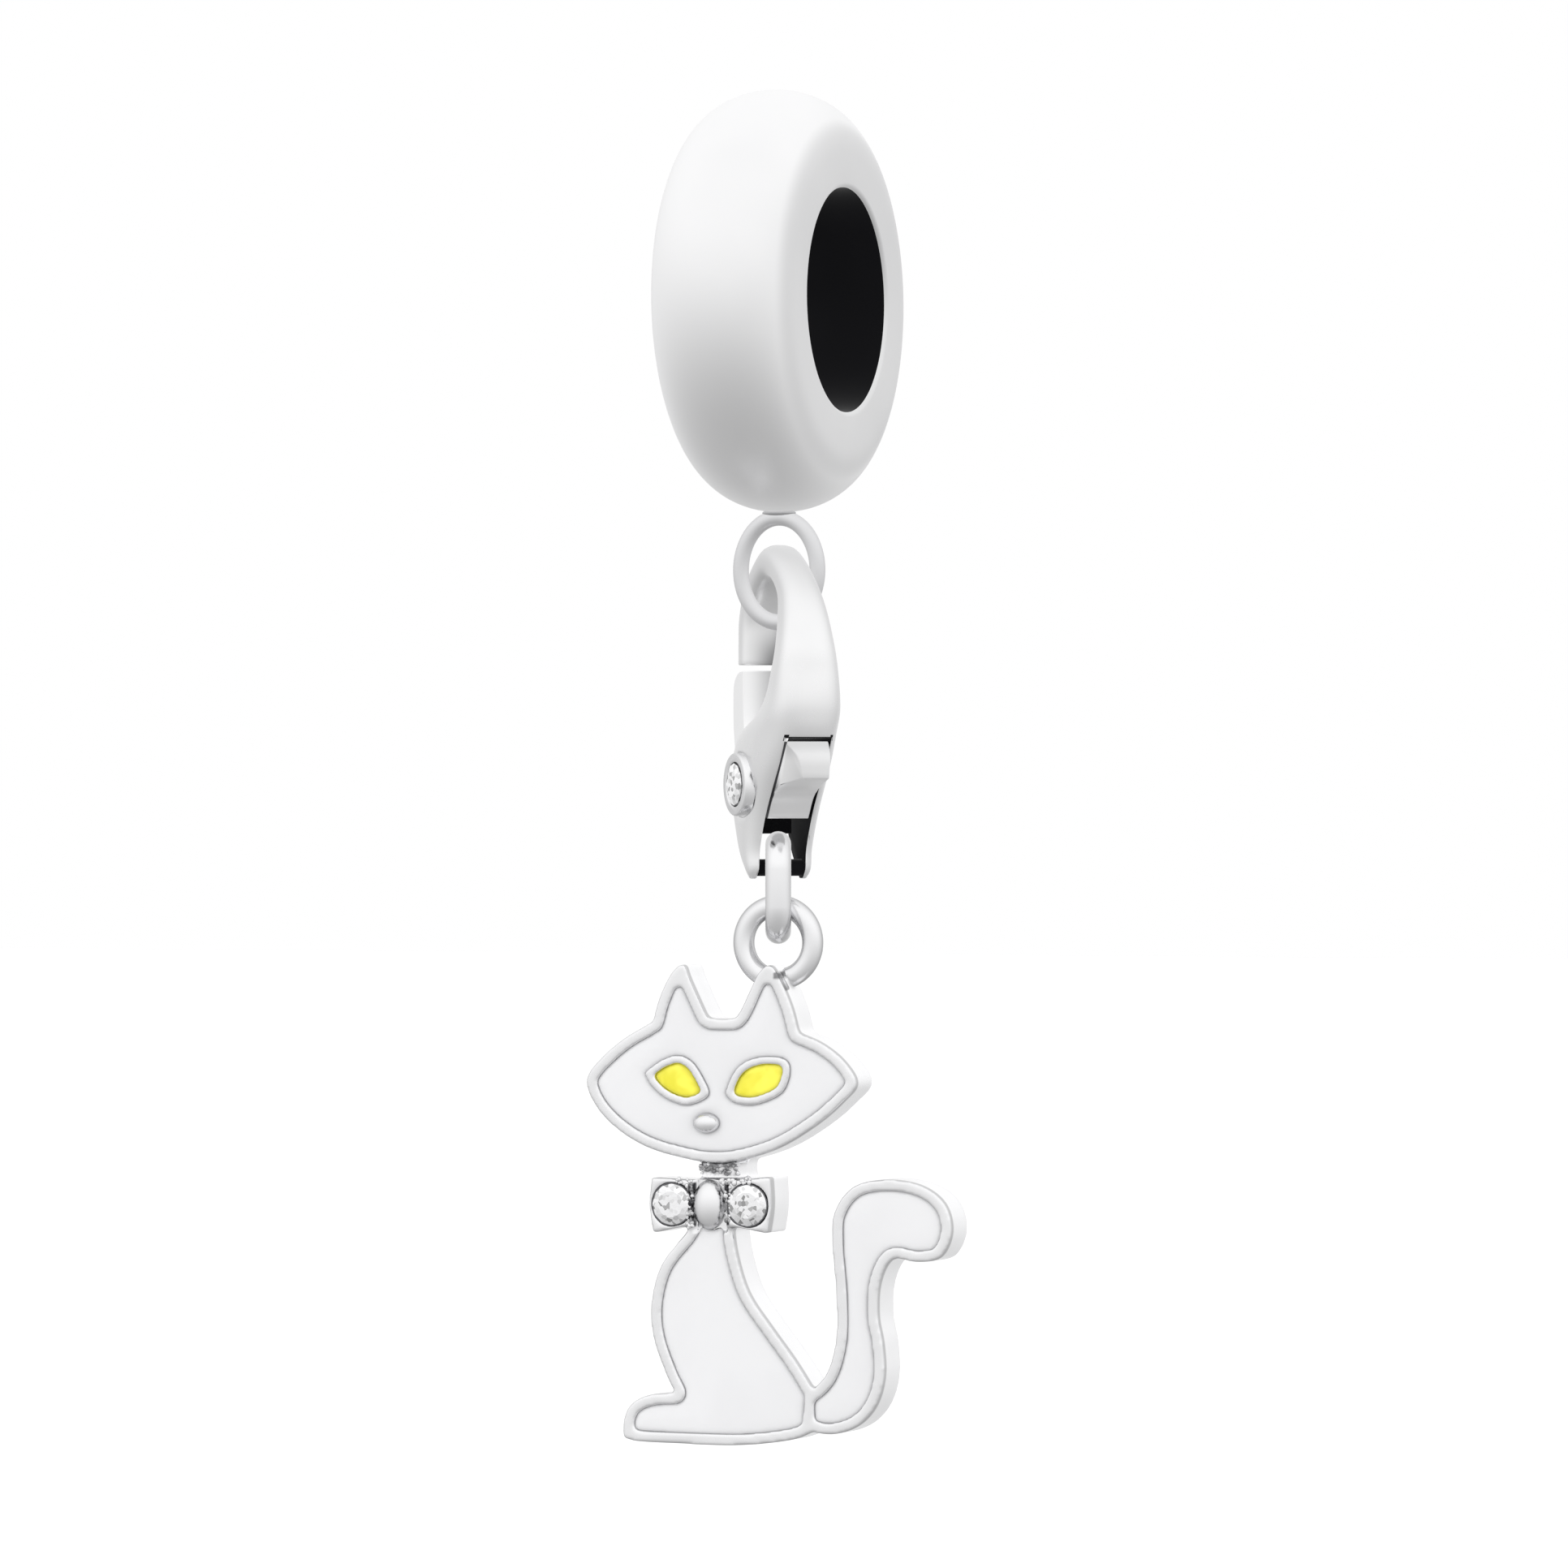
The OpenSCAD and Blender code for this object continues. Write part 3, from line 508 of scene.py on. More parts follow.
# Painted shade: a dull black for the bore, the slot and the bar.
shade_black = metal("shade_black_silver", (0.006, 0.006, 0.007), 0.45)
shade_black_nodes = shade_black.node_tree.nodes
shade_black_nodes["Group"].inputs["Stain and Shade"].default_value = (0.02, 0.02, 0.022, 1)
shade_black_nodes["Principled BSDF"].inputs["Metallic"].default_value = 0.0
shade_black_nodes["Principled BSDF"].inputs["Specular IOR Level"].default_value = 0.03
print("metals:", [m.name for m in bpy.data.materials if m.name.endswith("silver")])

# %% [markdown]
# ## Mesh helpers
# Each new piece starts from a simple bmesh shape and ends as an object at the origin that rides on a
# body of the model. Edges that meet at a sharp angle stay crisp, and the rest are shaded smooth.

# %% Mesh helpers
MERGE = 0.0005 * MM
FLAT_ANGLE = math.radians(0.6)


def finish_piece(name, bm, body, material, replaced=(), crisp=40):
    """Turns a bmesh into a piece that rides on a body, stands for CAD nodes and has a material."""
    mesh = bpy.data.meshes.new(name)
    bm.to_mesh(mesh)
    bm.free()
    mesh.shade_smooth()
    mesh.set_sharp_from_angle(angle=math.radians(crisp))
    mesh.materials.append(material)
    piece = bpy.data.objects.new(name, mesh)
    bpy.context.scene.collection.objects.link(piece)
    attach(piece, body)
    if replaced:
        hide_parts(*replaced)
    print(name, len(mesh.polygons), "faces")
    return piece


def copy_of(node, joined=False):
    """A merged copy of a CAD node's mesh, on request with its flat faces joined."""
    bm = bmesh.new()
    bm.from_mesh(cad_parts[node].data)
    bmesh.ops.remove_doubles(bm, verts=bm.verts, dist=MERGE)
    if joined:
        bmesh.ops.dissolve_limit(bm, angle_limit=FLAT_ANGLE, verts=bm.verts, edges=bm.edges)
    return bm


def soften(bm, degrees, width, segments):
    """Rounds the edges whose faces meet outwards at more than an angle, as a polishing wheel does."""
    limit = math.radians(degrees)
    sharp = [e for e in bm.edges if e.is_manifold and e.calc_face_angle_signed() > limit]
    bmesh.ops.bevel(bm, geom=sharp, offset=width, offset_type="OFFSET", affect="EDGES",
                    segments=segments, profile=0.5, material=-1, clamp_overlap=False)


# %% [markdown]
# ## Bead
# A spacer bead is turned on a lathe, so it is a profile spun round its bore. The profile is a
# superellipse: flatter on the sides than an ellipse, with a soft shoulder. The faces of the bore are
# found by their distance from the axis, and get the painted black shade.

# %% Bead
BEAD = {"radius": 5 * MM, "half_width": 1.75 * MM, "shoulder": 1.5 * MM, "power": 2.1, "lip": 0.12 * MM}
BORE_RADIUS, BORE_SKIN = 2.65 * MM, 0.01 * MM
SHOULDER_STEPS, LIP_STEPS, TURN_STEPS = 40, 5, 144


def keep_sign(value, power):
    """A power of a sine or cosine that keeps its sign, for superellipses."""
    return math.copysign(abs(value) ** (2 / power), value)


def spun(profile, axis, steps):
    """Spins a closed profile of points round an axis through the origin."""
    bm = bmesh.new()
    verts = [bm.verts.new(p) for p in profile]
    edges = [bm.edges.new((a, b)) for a, b in zip(verts, verts[1:] + verts[:1])]
    bmesh.ops.spin(bm, geom=verts + edges, axis=axis, cent=(0, 0, 0), angle=2 * math.pi,
                   steps=steps, use_merge=True)
    bmesh.ops.remove_doubles(bm, verts=bm.verts, dist=MERGE)
    bmesh.ops.recalc_face_normals(bm, faces=bm.faces)
    return bm


profile = []
for step in range(SHOULDER_STEPS + 1):
    turn = math.pi * step / SHOULDER_STEPS
    profile.append((BEAD["half_width"] * keep_sign(math.cos(turn), BEAD["power"]), 0,
                    BEAD["radius"] - BEAD["shoulder"]
                    + BEAD["shoulder"] * keep_sign(math.sin(turn), BEAD["power"])))
for side in (-1, 1):
    for step in range(LIP_STEPS + 1):
        turn = math.pi / 2 * (step if side < 0 else LIP_STEPS - step) / LIP_STEPS
        profile.append((side * (BEAD["half_width"] - BEAD["lip"] * (1 - math.cos(turn))), 0,
                        BORE_RADIUS + BEAD["lip"] * (1 - math.sin(turn))))
bead = finish_piece("bead_shell", spun(profile, (1, 0, 0), TURN_STEPS), "bead", satin_silver,
                    ["bead"], crisp=60)
# Painted shade: the faces of the bore get the black material.
bead.data.materials.append(shade_black)
for face in bead.data.polygons:
    face.material_index = int(math.hypot(face.center.y, face.center.z) < BORE_RADIUS + BORE_SKIN)
print("faces of the bore:", sum(face.material_index for face in bead.data.polygons))

# %% [markdown]
# The bead's loop, the long link and the cat's ring are all bent from round wire. A circle spun round
# an axis gives a torus. Moving its points up and down by their height makes it an oval, and moving
# each half by the same amount makes it two half circles joined by straight wires.


# %% Loop of the bead
def wire_ring(wire, width, height, straight=False, steps=72, sides=24):
    """Round wire bent to a ring in the XZ plane: an oval, or two half circles joined by straights."""
    bm = bmesh.new()
    radius = (width - wire) / 2
    section = bmesh.ops.create_circle(bm, segments=sides, radius=wire / 2,
                                      matrix=Matrix.Translation((radius, 0, 0)))["verts"]
    edges = list(dict.fromkeys(e for v in section for e in v.link_edges))
    bmesh.ops.spin(bm, geom=section + edges, axis=(0, 1, 0), cent=(0, 0, 0), angle=2 * math.pi,
                   steps=steps, use_merge=True)
    bmesh.ops.remove_doubles(bm, verts=bm.verts, dist=MERGE)
    for v in bm.verts:
        up = Vector((v.co.x, v.co.z)).normalized().y
        share = 0 if abs(up) < 0.001 else (math.copysign(1, up) if straight else up)
        v.co.z += share * (height - width) / 2
    bmesh.ops.recalc_face_normals(bm, faces=bm.faces)
    return bm


LOOP = {"wire": 0.38 * MM, "width": 2.32 * MM, "height": 2.86 * MM}
LOOP_Z = -6.37 * MM
loop_bm = wire_ring(**LOOP)
bmesh.ops.translate(loop_bm, verts=loop_bm.verts, vec=(0, 0, LOOP_Z))
loop = finish_piece("bead_loop", loop_bm, "bead", loop_silver, ["bead"])

# %% [markdown]
# The loop is soldered on, and the solder creeps up both sides of the wire. A flattened drop that sits
# half in the bead does that. In a white studio silver mirrors the room far more than its neighbours,
# so the bead, its loop and later the clasp are hidden from the reflections in the other pieces.

# %% Solder
SOLDER_Z = -5.02 * MM
SOLDER_RADII = (0.42 * MM, 0.24 * MM, 0.10 * MM)
solder_bm = bmesh.new()
bmesh.ops.create_uvsphere(solder_bm, u_segments=32, v_segments=16, radius=1,
                          matrix=Matrix.Translation((0, 0, SOLDER_Z))
                          @ Matrix.Diagonal((*SOLDER_RADII, 1)))
solder = finish_piece("loop_solder", solder_bm, "bead", solder_silver, ["bead"])
for piece in (bead, loop, solder):
    piece.visible_glossy = False

# %% [markdown]
# ## Clasp
# The clasp is cast in one piece: a hook, a back and two cheeks with a slot between them. It is lofted
# here by extruding one ring of vertices from section to section, from the tip up the back and round
# the hook. A smooth curve through the sections keeps them few, and easy to shift.

# %% Clasp body
CLASP_W, CLASP_H, CLASP_T, CLASP_POWER = 4.1 * MM, 7.9 * MM, 1.96 * MM, 2.7
HOOK_Z = -5.78 * MM
STEPS_BETWEEN, CLASP_SIDES = 4, 48
in_clasp = Matrix.Translation((0, 0, HOOK_Z)) @ Matrix.Rotation(CLASP_TURN, 4, "Z")
SECTIONS = [
    # back along, back down, front along, front down, thickness
    (-0.02, 1.00, 0.06, 1.00, 0.72),
    (-0.07, 0.97, 0.11, 0.97, 0.82),
    (-0.09, 0.91, 0.21, 0.91, 0.88),
    (-0.19, 0.81, 0.30, 0.81, 0.95),
    (-0.32, 0.72, 0.365, 0.72, 1.00),
    (-0.43, 0.65, 0.355, 0.65, 1.00),
    (-0.525, 0.57, 0.25, 0.57, 0.97),
    (-0.56, 0.51, -0.05, 0.51, 0.92),
    (-0.57, 0.455, -0.185, 0.455, 0.86),
    (-0.56, 0.38, -0.255, 0.38, 0.79),
    (-0.545, 0.305, -0.28, 0.305, 0.70),
    (-0.495, 0.205, -0.255, 0.215, 0.58),
    (-0.395, 0.12, -0.205, 0.155, 0.49),
    (-0.205, 0.04, -0.10, 0.113, 0.46),
    (-0.01, 0.00, 0.00, 0.098, 0.46),
    (0.165, 0.04, 0.093, 0.115, 0.46),
    (0.335, 0.12, 0.195, 0.163, 0.46),
    (0.42, 0.215, 0.255, 0.223, 0.46),
    (0.43, 0.29, 0.27, 0.29, 0.46),
    (0.43, 0.358, 0.275, 0.358, 0.46),
]


def smooth_rows(rows, parts):
    """Puts a smooth curve through rows of numbers, with a number of steps from one to the next."""
    rows = [Vector(r) for r in rows]
    last = len(rows) - 1
    out = []
    for i in range(last):
        slope_a = rows[i + 1] - rows[i] if i == 0 else (rows[i + 1] - rows[i - 1]) / 2
        slope_b = rows[i + 1] - rows[i] if i + 1 == last else (rows[i + 2] - rows[i]) / 2
        for k in range(parts + (i + 1 == last)):
            t = k / parts
            out.append((2 * t ** 3 - 3 * t ** 2 + 1) * rows[i] + (t ** 3 - 2 * t ** 2 + t) * slope_a
                       + (3 * t ** 2 - 2 * t ** 3) * rows[i + 1] + (t ** 3 - t ** 2) * slope_b)
    return out


def loft(sections, sides, point):
    """Lofts a solid: extrudes a ring of vertices through the sections, and caps both ends."""
    bm = bmesh.new()
    ring = bmesh.ops.create_circle(bm, segments=sides, radius=1)["verts"]
    ring.sort(key=lambda v: math.atan2(v.co.y, v.co.x))
    for number, section in enumerate(sections):
        if number:
            edges = dict.fromkeys(e for v in ring for e in v.link_edges if e.other_vert(v) in ring)
            made = bmesh.ops.extrude_edge_only(bm, edges=list(edges))["geom"]
            fresh = {x for x in made if isinstance(x, bmesh.types.BMVert)}
            ring = [next(e.other_vert(v) for e in v.link_edges if e.other_vert(v) in fresh) for v in ring]
        for index, v in enumerate(ring):
            v.co = point(section, 2 * math.pi * (index + 0.5) / sides)
    bmesh.ops.holes_fill(bm, edges=[e for e in bm.edges if e.is_boundary], sides=0)
    bmesh.ops.recalc_face_normals(bm, faces=bm.faces)
    return bm


def clasp_point(row, turn):
    """A point of a clasp section, whose outline is a superellipse between the two edges."""
    back = Vector((row[0] * CLASP_W, 0, -row[1] * CLASP_H))
    front = Vector((row[2] * CLASP_W, 0, -row[3] * CLASP_H))
    at = (back + front) / 2 + (front - back) / 2 * keep_sign(math.cos(turn), CLASP_POWER)
    at.y = row[4] * CLASP_T / 2 * keep_sign(math.sin(turn), CLASP_POWER)
    return in_clasp @ at


clasp_bm = loft(smooth_rows(SECTIONS, STEPS_BETWEEN), CLASP_SIDES, clasp_point)
print("clasp loft:", len(clasp_bm.faces), "faces")

# %% [markdown]
# The slot takes the lever, and a web at its foot joins the cheeks again. On the crystal's side a round
# seat takes the rivet's cup. Both are cut with Boolean modifiers, which leave knife-sharp edges, so
# those are softened afterwards. The faces inside the slot get the painted black shade.

# %% Cut the slot and the seat
SLOT_W, SLOT_DROP, SLOT_BACK = 1.16 * MM, 4.58 * MM, 0.45 * MM
SLOT_FRONT, SLOT_FOOT = 0.4 * CLASP_H, 2 * CLASP_H
WEB_TOP, WEB_FOOT, WEB_ALONG = 6.32 * MM, 6.84 * MM, 0.7 * MM
RIVET_AT = Vector((0.1 * MM, 0, -5.67 * MM))
CUP_RADIUS, CUP_FLOOR = 0.75 * MM, 0.78 * MM
SEAT_ROOM, SEAT_DEPTH = 0.02 * MM, 1 * MM
CUT_MERGE = 0.002 * MM
SLOT_FACE_SIDE, SLOT_FACE_TOP, SLOT_FACE_END = 0.585 * MM, -10.33 * MM, 0.9 * MM


def loose_object(name, bm):
    """A helper object for a modifier, which is removed again."""
    mesh = bpy.data.meshes.new(name)
    bm.to_mesh(mesh)
    bm.free()
    helper = bpy.data.objects.new(name, mesh)
    bpy.context.scene.collection.objects.link(helper)
    return helper


def evaluated(block, *others):
    """What an object looks like after its modifiers, as a bmesh. It and the others are removed."""
    graph = bpy.context.evaluated_depsgraph_get()
    result = bmesh.new()
    result.from_mesh(block.evaluated_get(graph).to_mesh())
    for helper in (block, *others):
        bpy.data.objects.remove(helper)
    return result


def cut(bm, cutters):
    """Subtracts helper objects from a bmesh and returns the result."""
    block = loose_object("block", bm)
    for helper in cutters:
        modifier = block.modifiers.new("cut", "BOOLEAN")
        modifier.operation = "DIFFERENCE"
        modifier.solver = "EXACT"
        modifier.object = helper
    return evaluated(block, *cutters)


slot_bm = bmesh.new()
corners = [(-CLASP_W, -SLOT_DROP), (-SLOT_BACK, -SLOT_DROP), (-SLOT_BACK, -SLOT_FRONT),
           (CLASP_W / 2, -SLOT_FRONT), (CLASP_W / 2, -WEB_TOP), (WEB_ALONG, -WEB_TOP),
           (WEB_ALONG, -WEB_FOOT), (CLASP_W / 2, -WEB_FOOT), (CLASP_W / 2, -SLOT_FOOT),
           (-CLASP_W, -SLOT_FOOT)]
face = slot_bm.faces.new([slot_bm.verts.new((x, -SLOT_W / 2, z)) for x, z in corners])
grown = bmesh.ops.extrude_face_region(slot_bm, geom=[face])["geom"]
bmesh.ops.translate(slot_bm, verts=[v for v in grown if isinstance(v, bmesh.types.BMVert)],
                    vec=(0, SLOT_W, 0))
bmesh.ops.recalc_face_normals(slot_bm, faces=slot_bm.faces)
bmesh.ops.transform(slot_bm, matrix=in_clasp, verts=slot_bm.verts)
seat_at = RIVET_AT + Vector((0, CUP_FLOOR + SEAT_DEPTH / 2, 0))
seat_bm = bmesh.new()
bmesh.ops.create_cone(seat_bm, cap_ends=True, segments=64, radius1=CUP_RADIUS + SEAT_ROOM,
                      radius2=CUP_RADIUS + SEAT_ROOM, depth=SEAT_DEPTH,
                      matrix=in_clasp @ Matrix.Translation(seat_at)
                      @ Matrix.Rotation(math.pi / 2, 4, "X"))
clasp_bm = cut(clasp_bm, [loose_object("slot", slot_bm), loose_object("seat", seat_bm)])
bmesh.ops.remove_doubles(clasp_bm, verts=clasp_bm.verts, dist=CUT_MERGE)
bmesh.ops.dissolve_degenerate(clasp_bm, dist=CUT_MERGE, edges=clasp_bm.edges)
soften(clasp_bm, degrees=50, width=0.03 * MM, segments=2)
clasp = finish_piece("clasp_shell", clasp_bm, "clasp", clasp_silver,
                     ["clasp_body"], crisp=50)
clasp.visible_glossy = False
# Painted shade: the faces inside the slot get the black material.
clasp.data.materials.append(shade_black)
for face in clasp.data.polygons:
    at = face.center
    between = abs(at @ CRYSTAL_WAY) < SLOT_FACE_SIDE and at @ NOSE_WAY < SLOT_FACE_END
    face.material_index = int(between and at.z < SLOT_FACE_TOP)
print("faces of the slot:", sum(face.material_index for face in clasp.data.polygons))

# %% [markdown]
# The link hangs on a bar between the cheeks. It hardly shows, so it is a plain round rod, painted black
# as shade, as the slot is. It is hidden from reflections too, or it would draw a dark stripe in the link.

# %% Bar across the cheeks
HANGER_RADIUS, HANGER_LENGTH = 0.2 * MM, 1.26 * MM
HANGER_AT = (0.06 * MM, 0, 0.26 * MM - CLASP_H)
bar_bm = bmesh.new()
bmesh.ops.create_cone(bar_bm, cap_ends=True, segments=32, radius1=HANGER_RADIUS,
                      radius2=HANGER_RADIUS, depth=HANGER_LENGTH,
                      matrix=in_clasp @ Matrix.Translation(HANGER_AT)
                      @ Matrix.Rotation(math.pi / 2, 4, "X"))
# Painted shade: the bar is black.
bar = finish_piece("clasp_bar", bar_bm, "clasp", shade_black, ["clasp_body"])
bar.visible_glossy = False

# %% [markdown]
# ## Lever and rivet
# The lever is stamped and only its edges are broken, so a copy of the solid with softened edges is
# right. One corner of its thumb tab is filed off, which a plane through the mesh does. The rivet's cup
# is a copy of its solid with softened edges too.

# %% Lever and rivet
TAB_CORNER = (-0.46 * CLASP_W, 0.56 * MM, -0.59 * CLASP_H)
TAB_FACET = (-0.488, 0.519, -0.22)


def slice_off(bm, at, outwards):
    """Cuts a corner off by a plane, given in the clasp's own frame, and closes the cut."""
    normal = in_clasp.to_3x3() @ Vector(outwards).normalized()
    made = bmesh.ops.bisect_plane(bm, geom=bm.verts[:] + bm.edges[:] + bm.faces[:], plane_no=normal,
                                  plane_co=in_clasp @ Vector(at), clear_outer=True, dist=0.0002 * MM)
    edges = [x for x in made["geom_cut"] if isinstance(x, bmesh.types.BMEdge)]
    bmesh.ops.edgenet_fill(bm, edges=edges)


lever_bm = copy_of("clasp_lever", joined=True)
slice_off(lever_bm, TAB_CORNER, TAB_FACET)
print("open edges of the lever:", sum(not e.is_manifold for e in lever_bm.edges))
bmesh.ops.recalc_face_normals(lever_bm, faces=lever_bm.faces)
soften(lever_bm, degrees=25, width=0.025 * MM, segments=2)
finish_piece("lever_plate", lever_bm, "lever", lever_silver, ["clasp_lever"], crisp=20)
rivet_bm = copy_of("rivet", joined=True)
soften(rivet_bm, degrees=50, width=0.05 * MM, segments=3)
finish_piece("rivet_cup", rivet_bm, "clasp", polished_silver, ["rivet"])

# %% [markdown]
# ## Link
# The link is a long ring of round wire, turned a quarter against the cat's ring so that it hangs freely.

# %% Link
LINK = {"wire": 0.61 * MM, "width": 1.94 * MM, "height": 2.67 * MM}
LINK_Z, LINK_TURN = -13.895 * MM, math.radians(-69)
link_bm = wire_ring(**LINK, straight=True)
bmesh.ops.transform(link_bm, verts=link_bm.verts,
                    matrix=Matrix.Translation(BAR_AT + Vector((0, 0, LINK_Z)))
                    @ Matrix.Rotation(LINK_TURN, 4, "Z"))
finish_piece("long_link", link_bm, "link", polished_silver, ["link"])

# %% [markdown]
# ## Cat
# The cat is a flat casting whose rims stand up like walls round the enamel. Casting and polishing round
# every edge of it. Bevels on so many crossing rims leave spikes, so a copy of the solid is remeshed in
# voxels of a twentieth of a millimetre and smoothed, which melts all the edges alike. The knot of the
# bow is pressed flat in that copy, because a rounder knot is put on it further down.

# %% Cat casting
VOXEL, SMOOTHING, CAST_STEPS = 0.05, 0.5, 9
KNOT_HALF_X, KNOT_HALF_Z, KNOT_SUNK = 0.42 * MM, 0.66 * MM, 0.2 * MM


def cast_copy(node, steps):
    """A copy of a CAD solid with the soft edges of a casting: remeshed in fine voxels and smoothed."""
    bm = copy_of(node)
    bmesh.ops.scale(bm, verts=bm.verts, vec=(1 / MM, 1 / MM, 1 / MM))
    block = loose_object("block", bm)
    remesh = block.modifiers.new("voxels", "REMESH")
    remesh.mode = "VOXEL"
    remesh.voxel_size = VOXEL
    smooth = block.modifiers.new("polish", "SMOOTH")
    smooth.factor = SMOOTHING
    smooth.iterations = steps
    result = evaluated(block)
    bmesh.ops.scale(result, verts=result.verts, vec=(MM, MM, MM))
    return result


cat_bm = cast_copy("cat_frame", CAST_STEPS)
for v in cat_bm.verts:
    if abs(v.co.x - BOW_AT.x) < KNOT_HALF_X and abs(v.co.z - BOW_AT.z) < KNOT_HALF_Z:
        v.co.y = max(v.co.y, BOW_AT.y + KNOT_SUNK)
finish_piece("cat_casting", cat_bm, "cat", cast_silver, ["cat_frame"], crisp=80)

# %% [markdown]
# The ring on the ear would come out of the voxels lumpy, so clean round wire is laid over it, a hair
# thicker. It has the knot's finish, whose edges are drawn darker.

# %% Ring on the ear
EAR_RING = {"wire": 0.504 * MM, "width": 2.252 * MM, "height": 2.252 * MM}
RING_Z = -15.195 * MM
ring_bm = wire_ring(**EAR_RING)
bmesh.ops.translate(ring_bm, verts=ring_bm.verts, vec=BAR_AT + Vector((0, 0, RING_Z)))
finish_piece("ear_ring", ring_bm, "cat", knot_silver, ["cat_frame"])

# %% [markdown]
# ## Nose, knot, shade rings and grain
# The nose is a drop of metal that lies on the enamel like a lens, and the knot of the bow is a larger
# one. Each crystal sits in a thin dark ring of painted shade, where the light can't get between stone
# and metal.

# %% Nose, knot and shade rings
NOSE_AT = Vector((-1.65 * MM, -0.505 * MM, -19.478 * MM))
NOSE_RADII = (0.33 * MM, 0.26 * MM, 0.24 * MM)
KNOT_RADII, KNOT_SHIFT = (0.41 * MM, 0.40 * MM, 0.60 * MM), -0.06 * MM
SHADE_RING = {"wire": 0.03 * MM, "width": 1.03 * MM, "height": 1.03 * MM}
STONE_OFF = 0.961 * MM


def lens(name, at, radii, material):
    """A lens-shaped drop of metal on the cat."""
    bm = bmesh.new()
    bmesh.ops.create_uvsphere(bm, u_segments=32, v_segments=16, radius=1,
                              matrix=Matrix.Translation(at) @ Matrix.Diagonal((*radii, 1)))
    finish_piece(name, bm, "cat", material)


lens("nose_drop", NOSE_AT, NOSE_RADII, polished_silver)
cat_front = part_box("cat_frame")[0].y
knot_at = BOW_AT + Vector((KNOT_SHIFT, KNOT_RADII[1] + cat_front - BOW_AT.y, 0))
lens("knot_drop", knot_at, KNOT_RADII, knot_silver)
# Painted shade: each crystal gets a thin dark ring.
for side, name in ((-1, "shade_ring_left"), (1, "shade_ring_right")):
    shade_ring_bm = wire_ring(**SHADE_RING, steps=48, sides=12)
    bmesh.ops.translate(shade_ring_bm, verts=shade_ring_bm.verts, vec=BOW_AT + Vector((side * STONE_OFF, 0, 0)))
    finish_piece(name, shade_ring_bm, "cat", gap_shade_silver)

# %% [markdown]
# Beside the knot and at the neck the casting stayed rough. Small grains of metal are strewn there, each
# a squashed ball of its own size and turn. The random numbers have a seed, so the grains lie in the
# same places each time.

# %% Grains
PATCHES = [
    # middle across, middle up, half width, half height in mm, number of grains
    (-0.50, 0.0, 0.07, 0.55, 26),
    (0.47, 0.05, 0.06, 0.55, 22),
    (0.62, 0.58, 0.42, 0.06, 20),
    (-0.62, 0.56, 0.22, 0.05, 8),
    (0.14, 0.83, 0.50, 0.12, 34),
]
NECK_UP, NECK_SUNK = 0.7, 0.35 * MM
GRAIN_SIZES, GRAIN_HEIGHTS, GRAIN_DEPTH = (0.03, 0.07), (0.7, 1.2), 0.7
rng = random.Random(7)
grain_bm = bmesh.new()
for across, up, half_x, half_z, number in PATCHES:
    for _ in range(number):
        sunk = NECK_SUNK if up > NECK_UP else 0.0
        at = BOW_AT + Vector(((across + half_x * rng.uniform(-1, 1)) * MM, sunk,
                              (up + half_z * rng.uniform(-1, 1)) * MM))
        size = rng.uniform(*GRAIN_SIZES) * MM
        shape = Matrix.Diagonal((size, GRAIN_DEPTH * size, size * rng.uniform(*GRAIN_HEIGHTS), 1))
        bmesh.ops.create_icosphere(grain_bm, subdivisions=2, radius=1,
                                   matrix=Matrix.Translation(at)
                                   @ Matrix.Rotation(rng.uniform(0, math.pi), 4, "Y") @ shape)
finish_piece("bow_grains", grain_bm, "cat", cast_silver)

# %% [markdown]
# ## Enamel
# Enamel is glass, so its gloss is a clear coat over a colour. It is never quite even: a slow noise
# clouds the colour and lifts the surface a little, and a fine one varies the gloss.

# %% Enamel glass
GLASS = {"IOR": 1.5, "Coat Weight": 0.6, "Coat Roughness": 0.04}
GLASS_ROUGHNESS, GLASS_BUMP, GLASS_DEPTH = 0.12, 0.08, 0.02 * MM
SPECK_SCALE, SPECK_SHARE = 5000.0, 0.06
CLOUD_STEP, CLOUD_TWIST = (0.35, 0.65), 0.6


def enamel(name, colour, cloud, cloud_scale=350.0):
    """Glossy poured glass with a faint cloud and tiny specks."""
    material, tree, shader = simple_material(name)
    place = tree.nodes.new("ShaderNodeTexCoord").outputs["Object"]
    slow = noise_in(tree, cloud_scale, 2, place, distortion=CLOUD_TWIST)
    base = mix_colours(tree, ramp(tree, slow, *CLOUD_STEP), (*colour, 1), (*cloud, 1))
    tree.links.new(base, shader.inputs["Base Color"])
    specks = times(tree, noise_in(tree, SPECK_SCALE, 3, place), SPECK_SHARE)
    tree.links.new(math_node(tree, "ADD", specks, GLASS_ROUGHNESS), shader.inputs["Roughness"])
    for socket, value in GLASS.items():
        shader.inputs[socket].default_value = value
    add_bump(tree, shader, slow, GLASS_BUMP, GLASS_DEPTH)
    return material


white_enamel = enamel("white_enamel", (0.65, 0.65, 0.66), (0.67, 0.67, 0.68))
yellow_enamel = enamel("yellow_enamel", (0.88, 0.82, 0.07), (0.70, 0.64, 0.02), 1400.0)
print("enamels:", white_enamel.name, yellow_enamel.name)

# %% [markdown]
# Liquid enamel runs right up to the walls of its cell and swells to its middle. The slab of the solid
# is remeshed as the casting was, which gives it enough points. Each grows a little sideways into the
# wall, and the points of the top rise by how far they lie from the nearest wall.

# %% Poured enamel
GROWTH, STEEP, SWELL = 0.05 * MM, 0.7, 4
SLAB_STEPS = 3
POURED = {
    "white_enamel": (white_enamel, 0.05 * MM, ("head_enamel", "body_enamel", "tail_enamel")),
    "yellow_enamel": (yellow_enamel, 0.04 * MM, ("eye_enamel_left", "eye_enamel_right")),
}


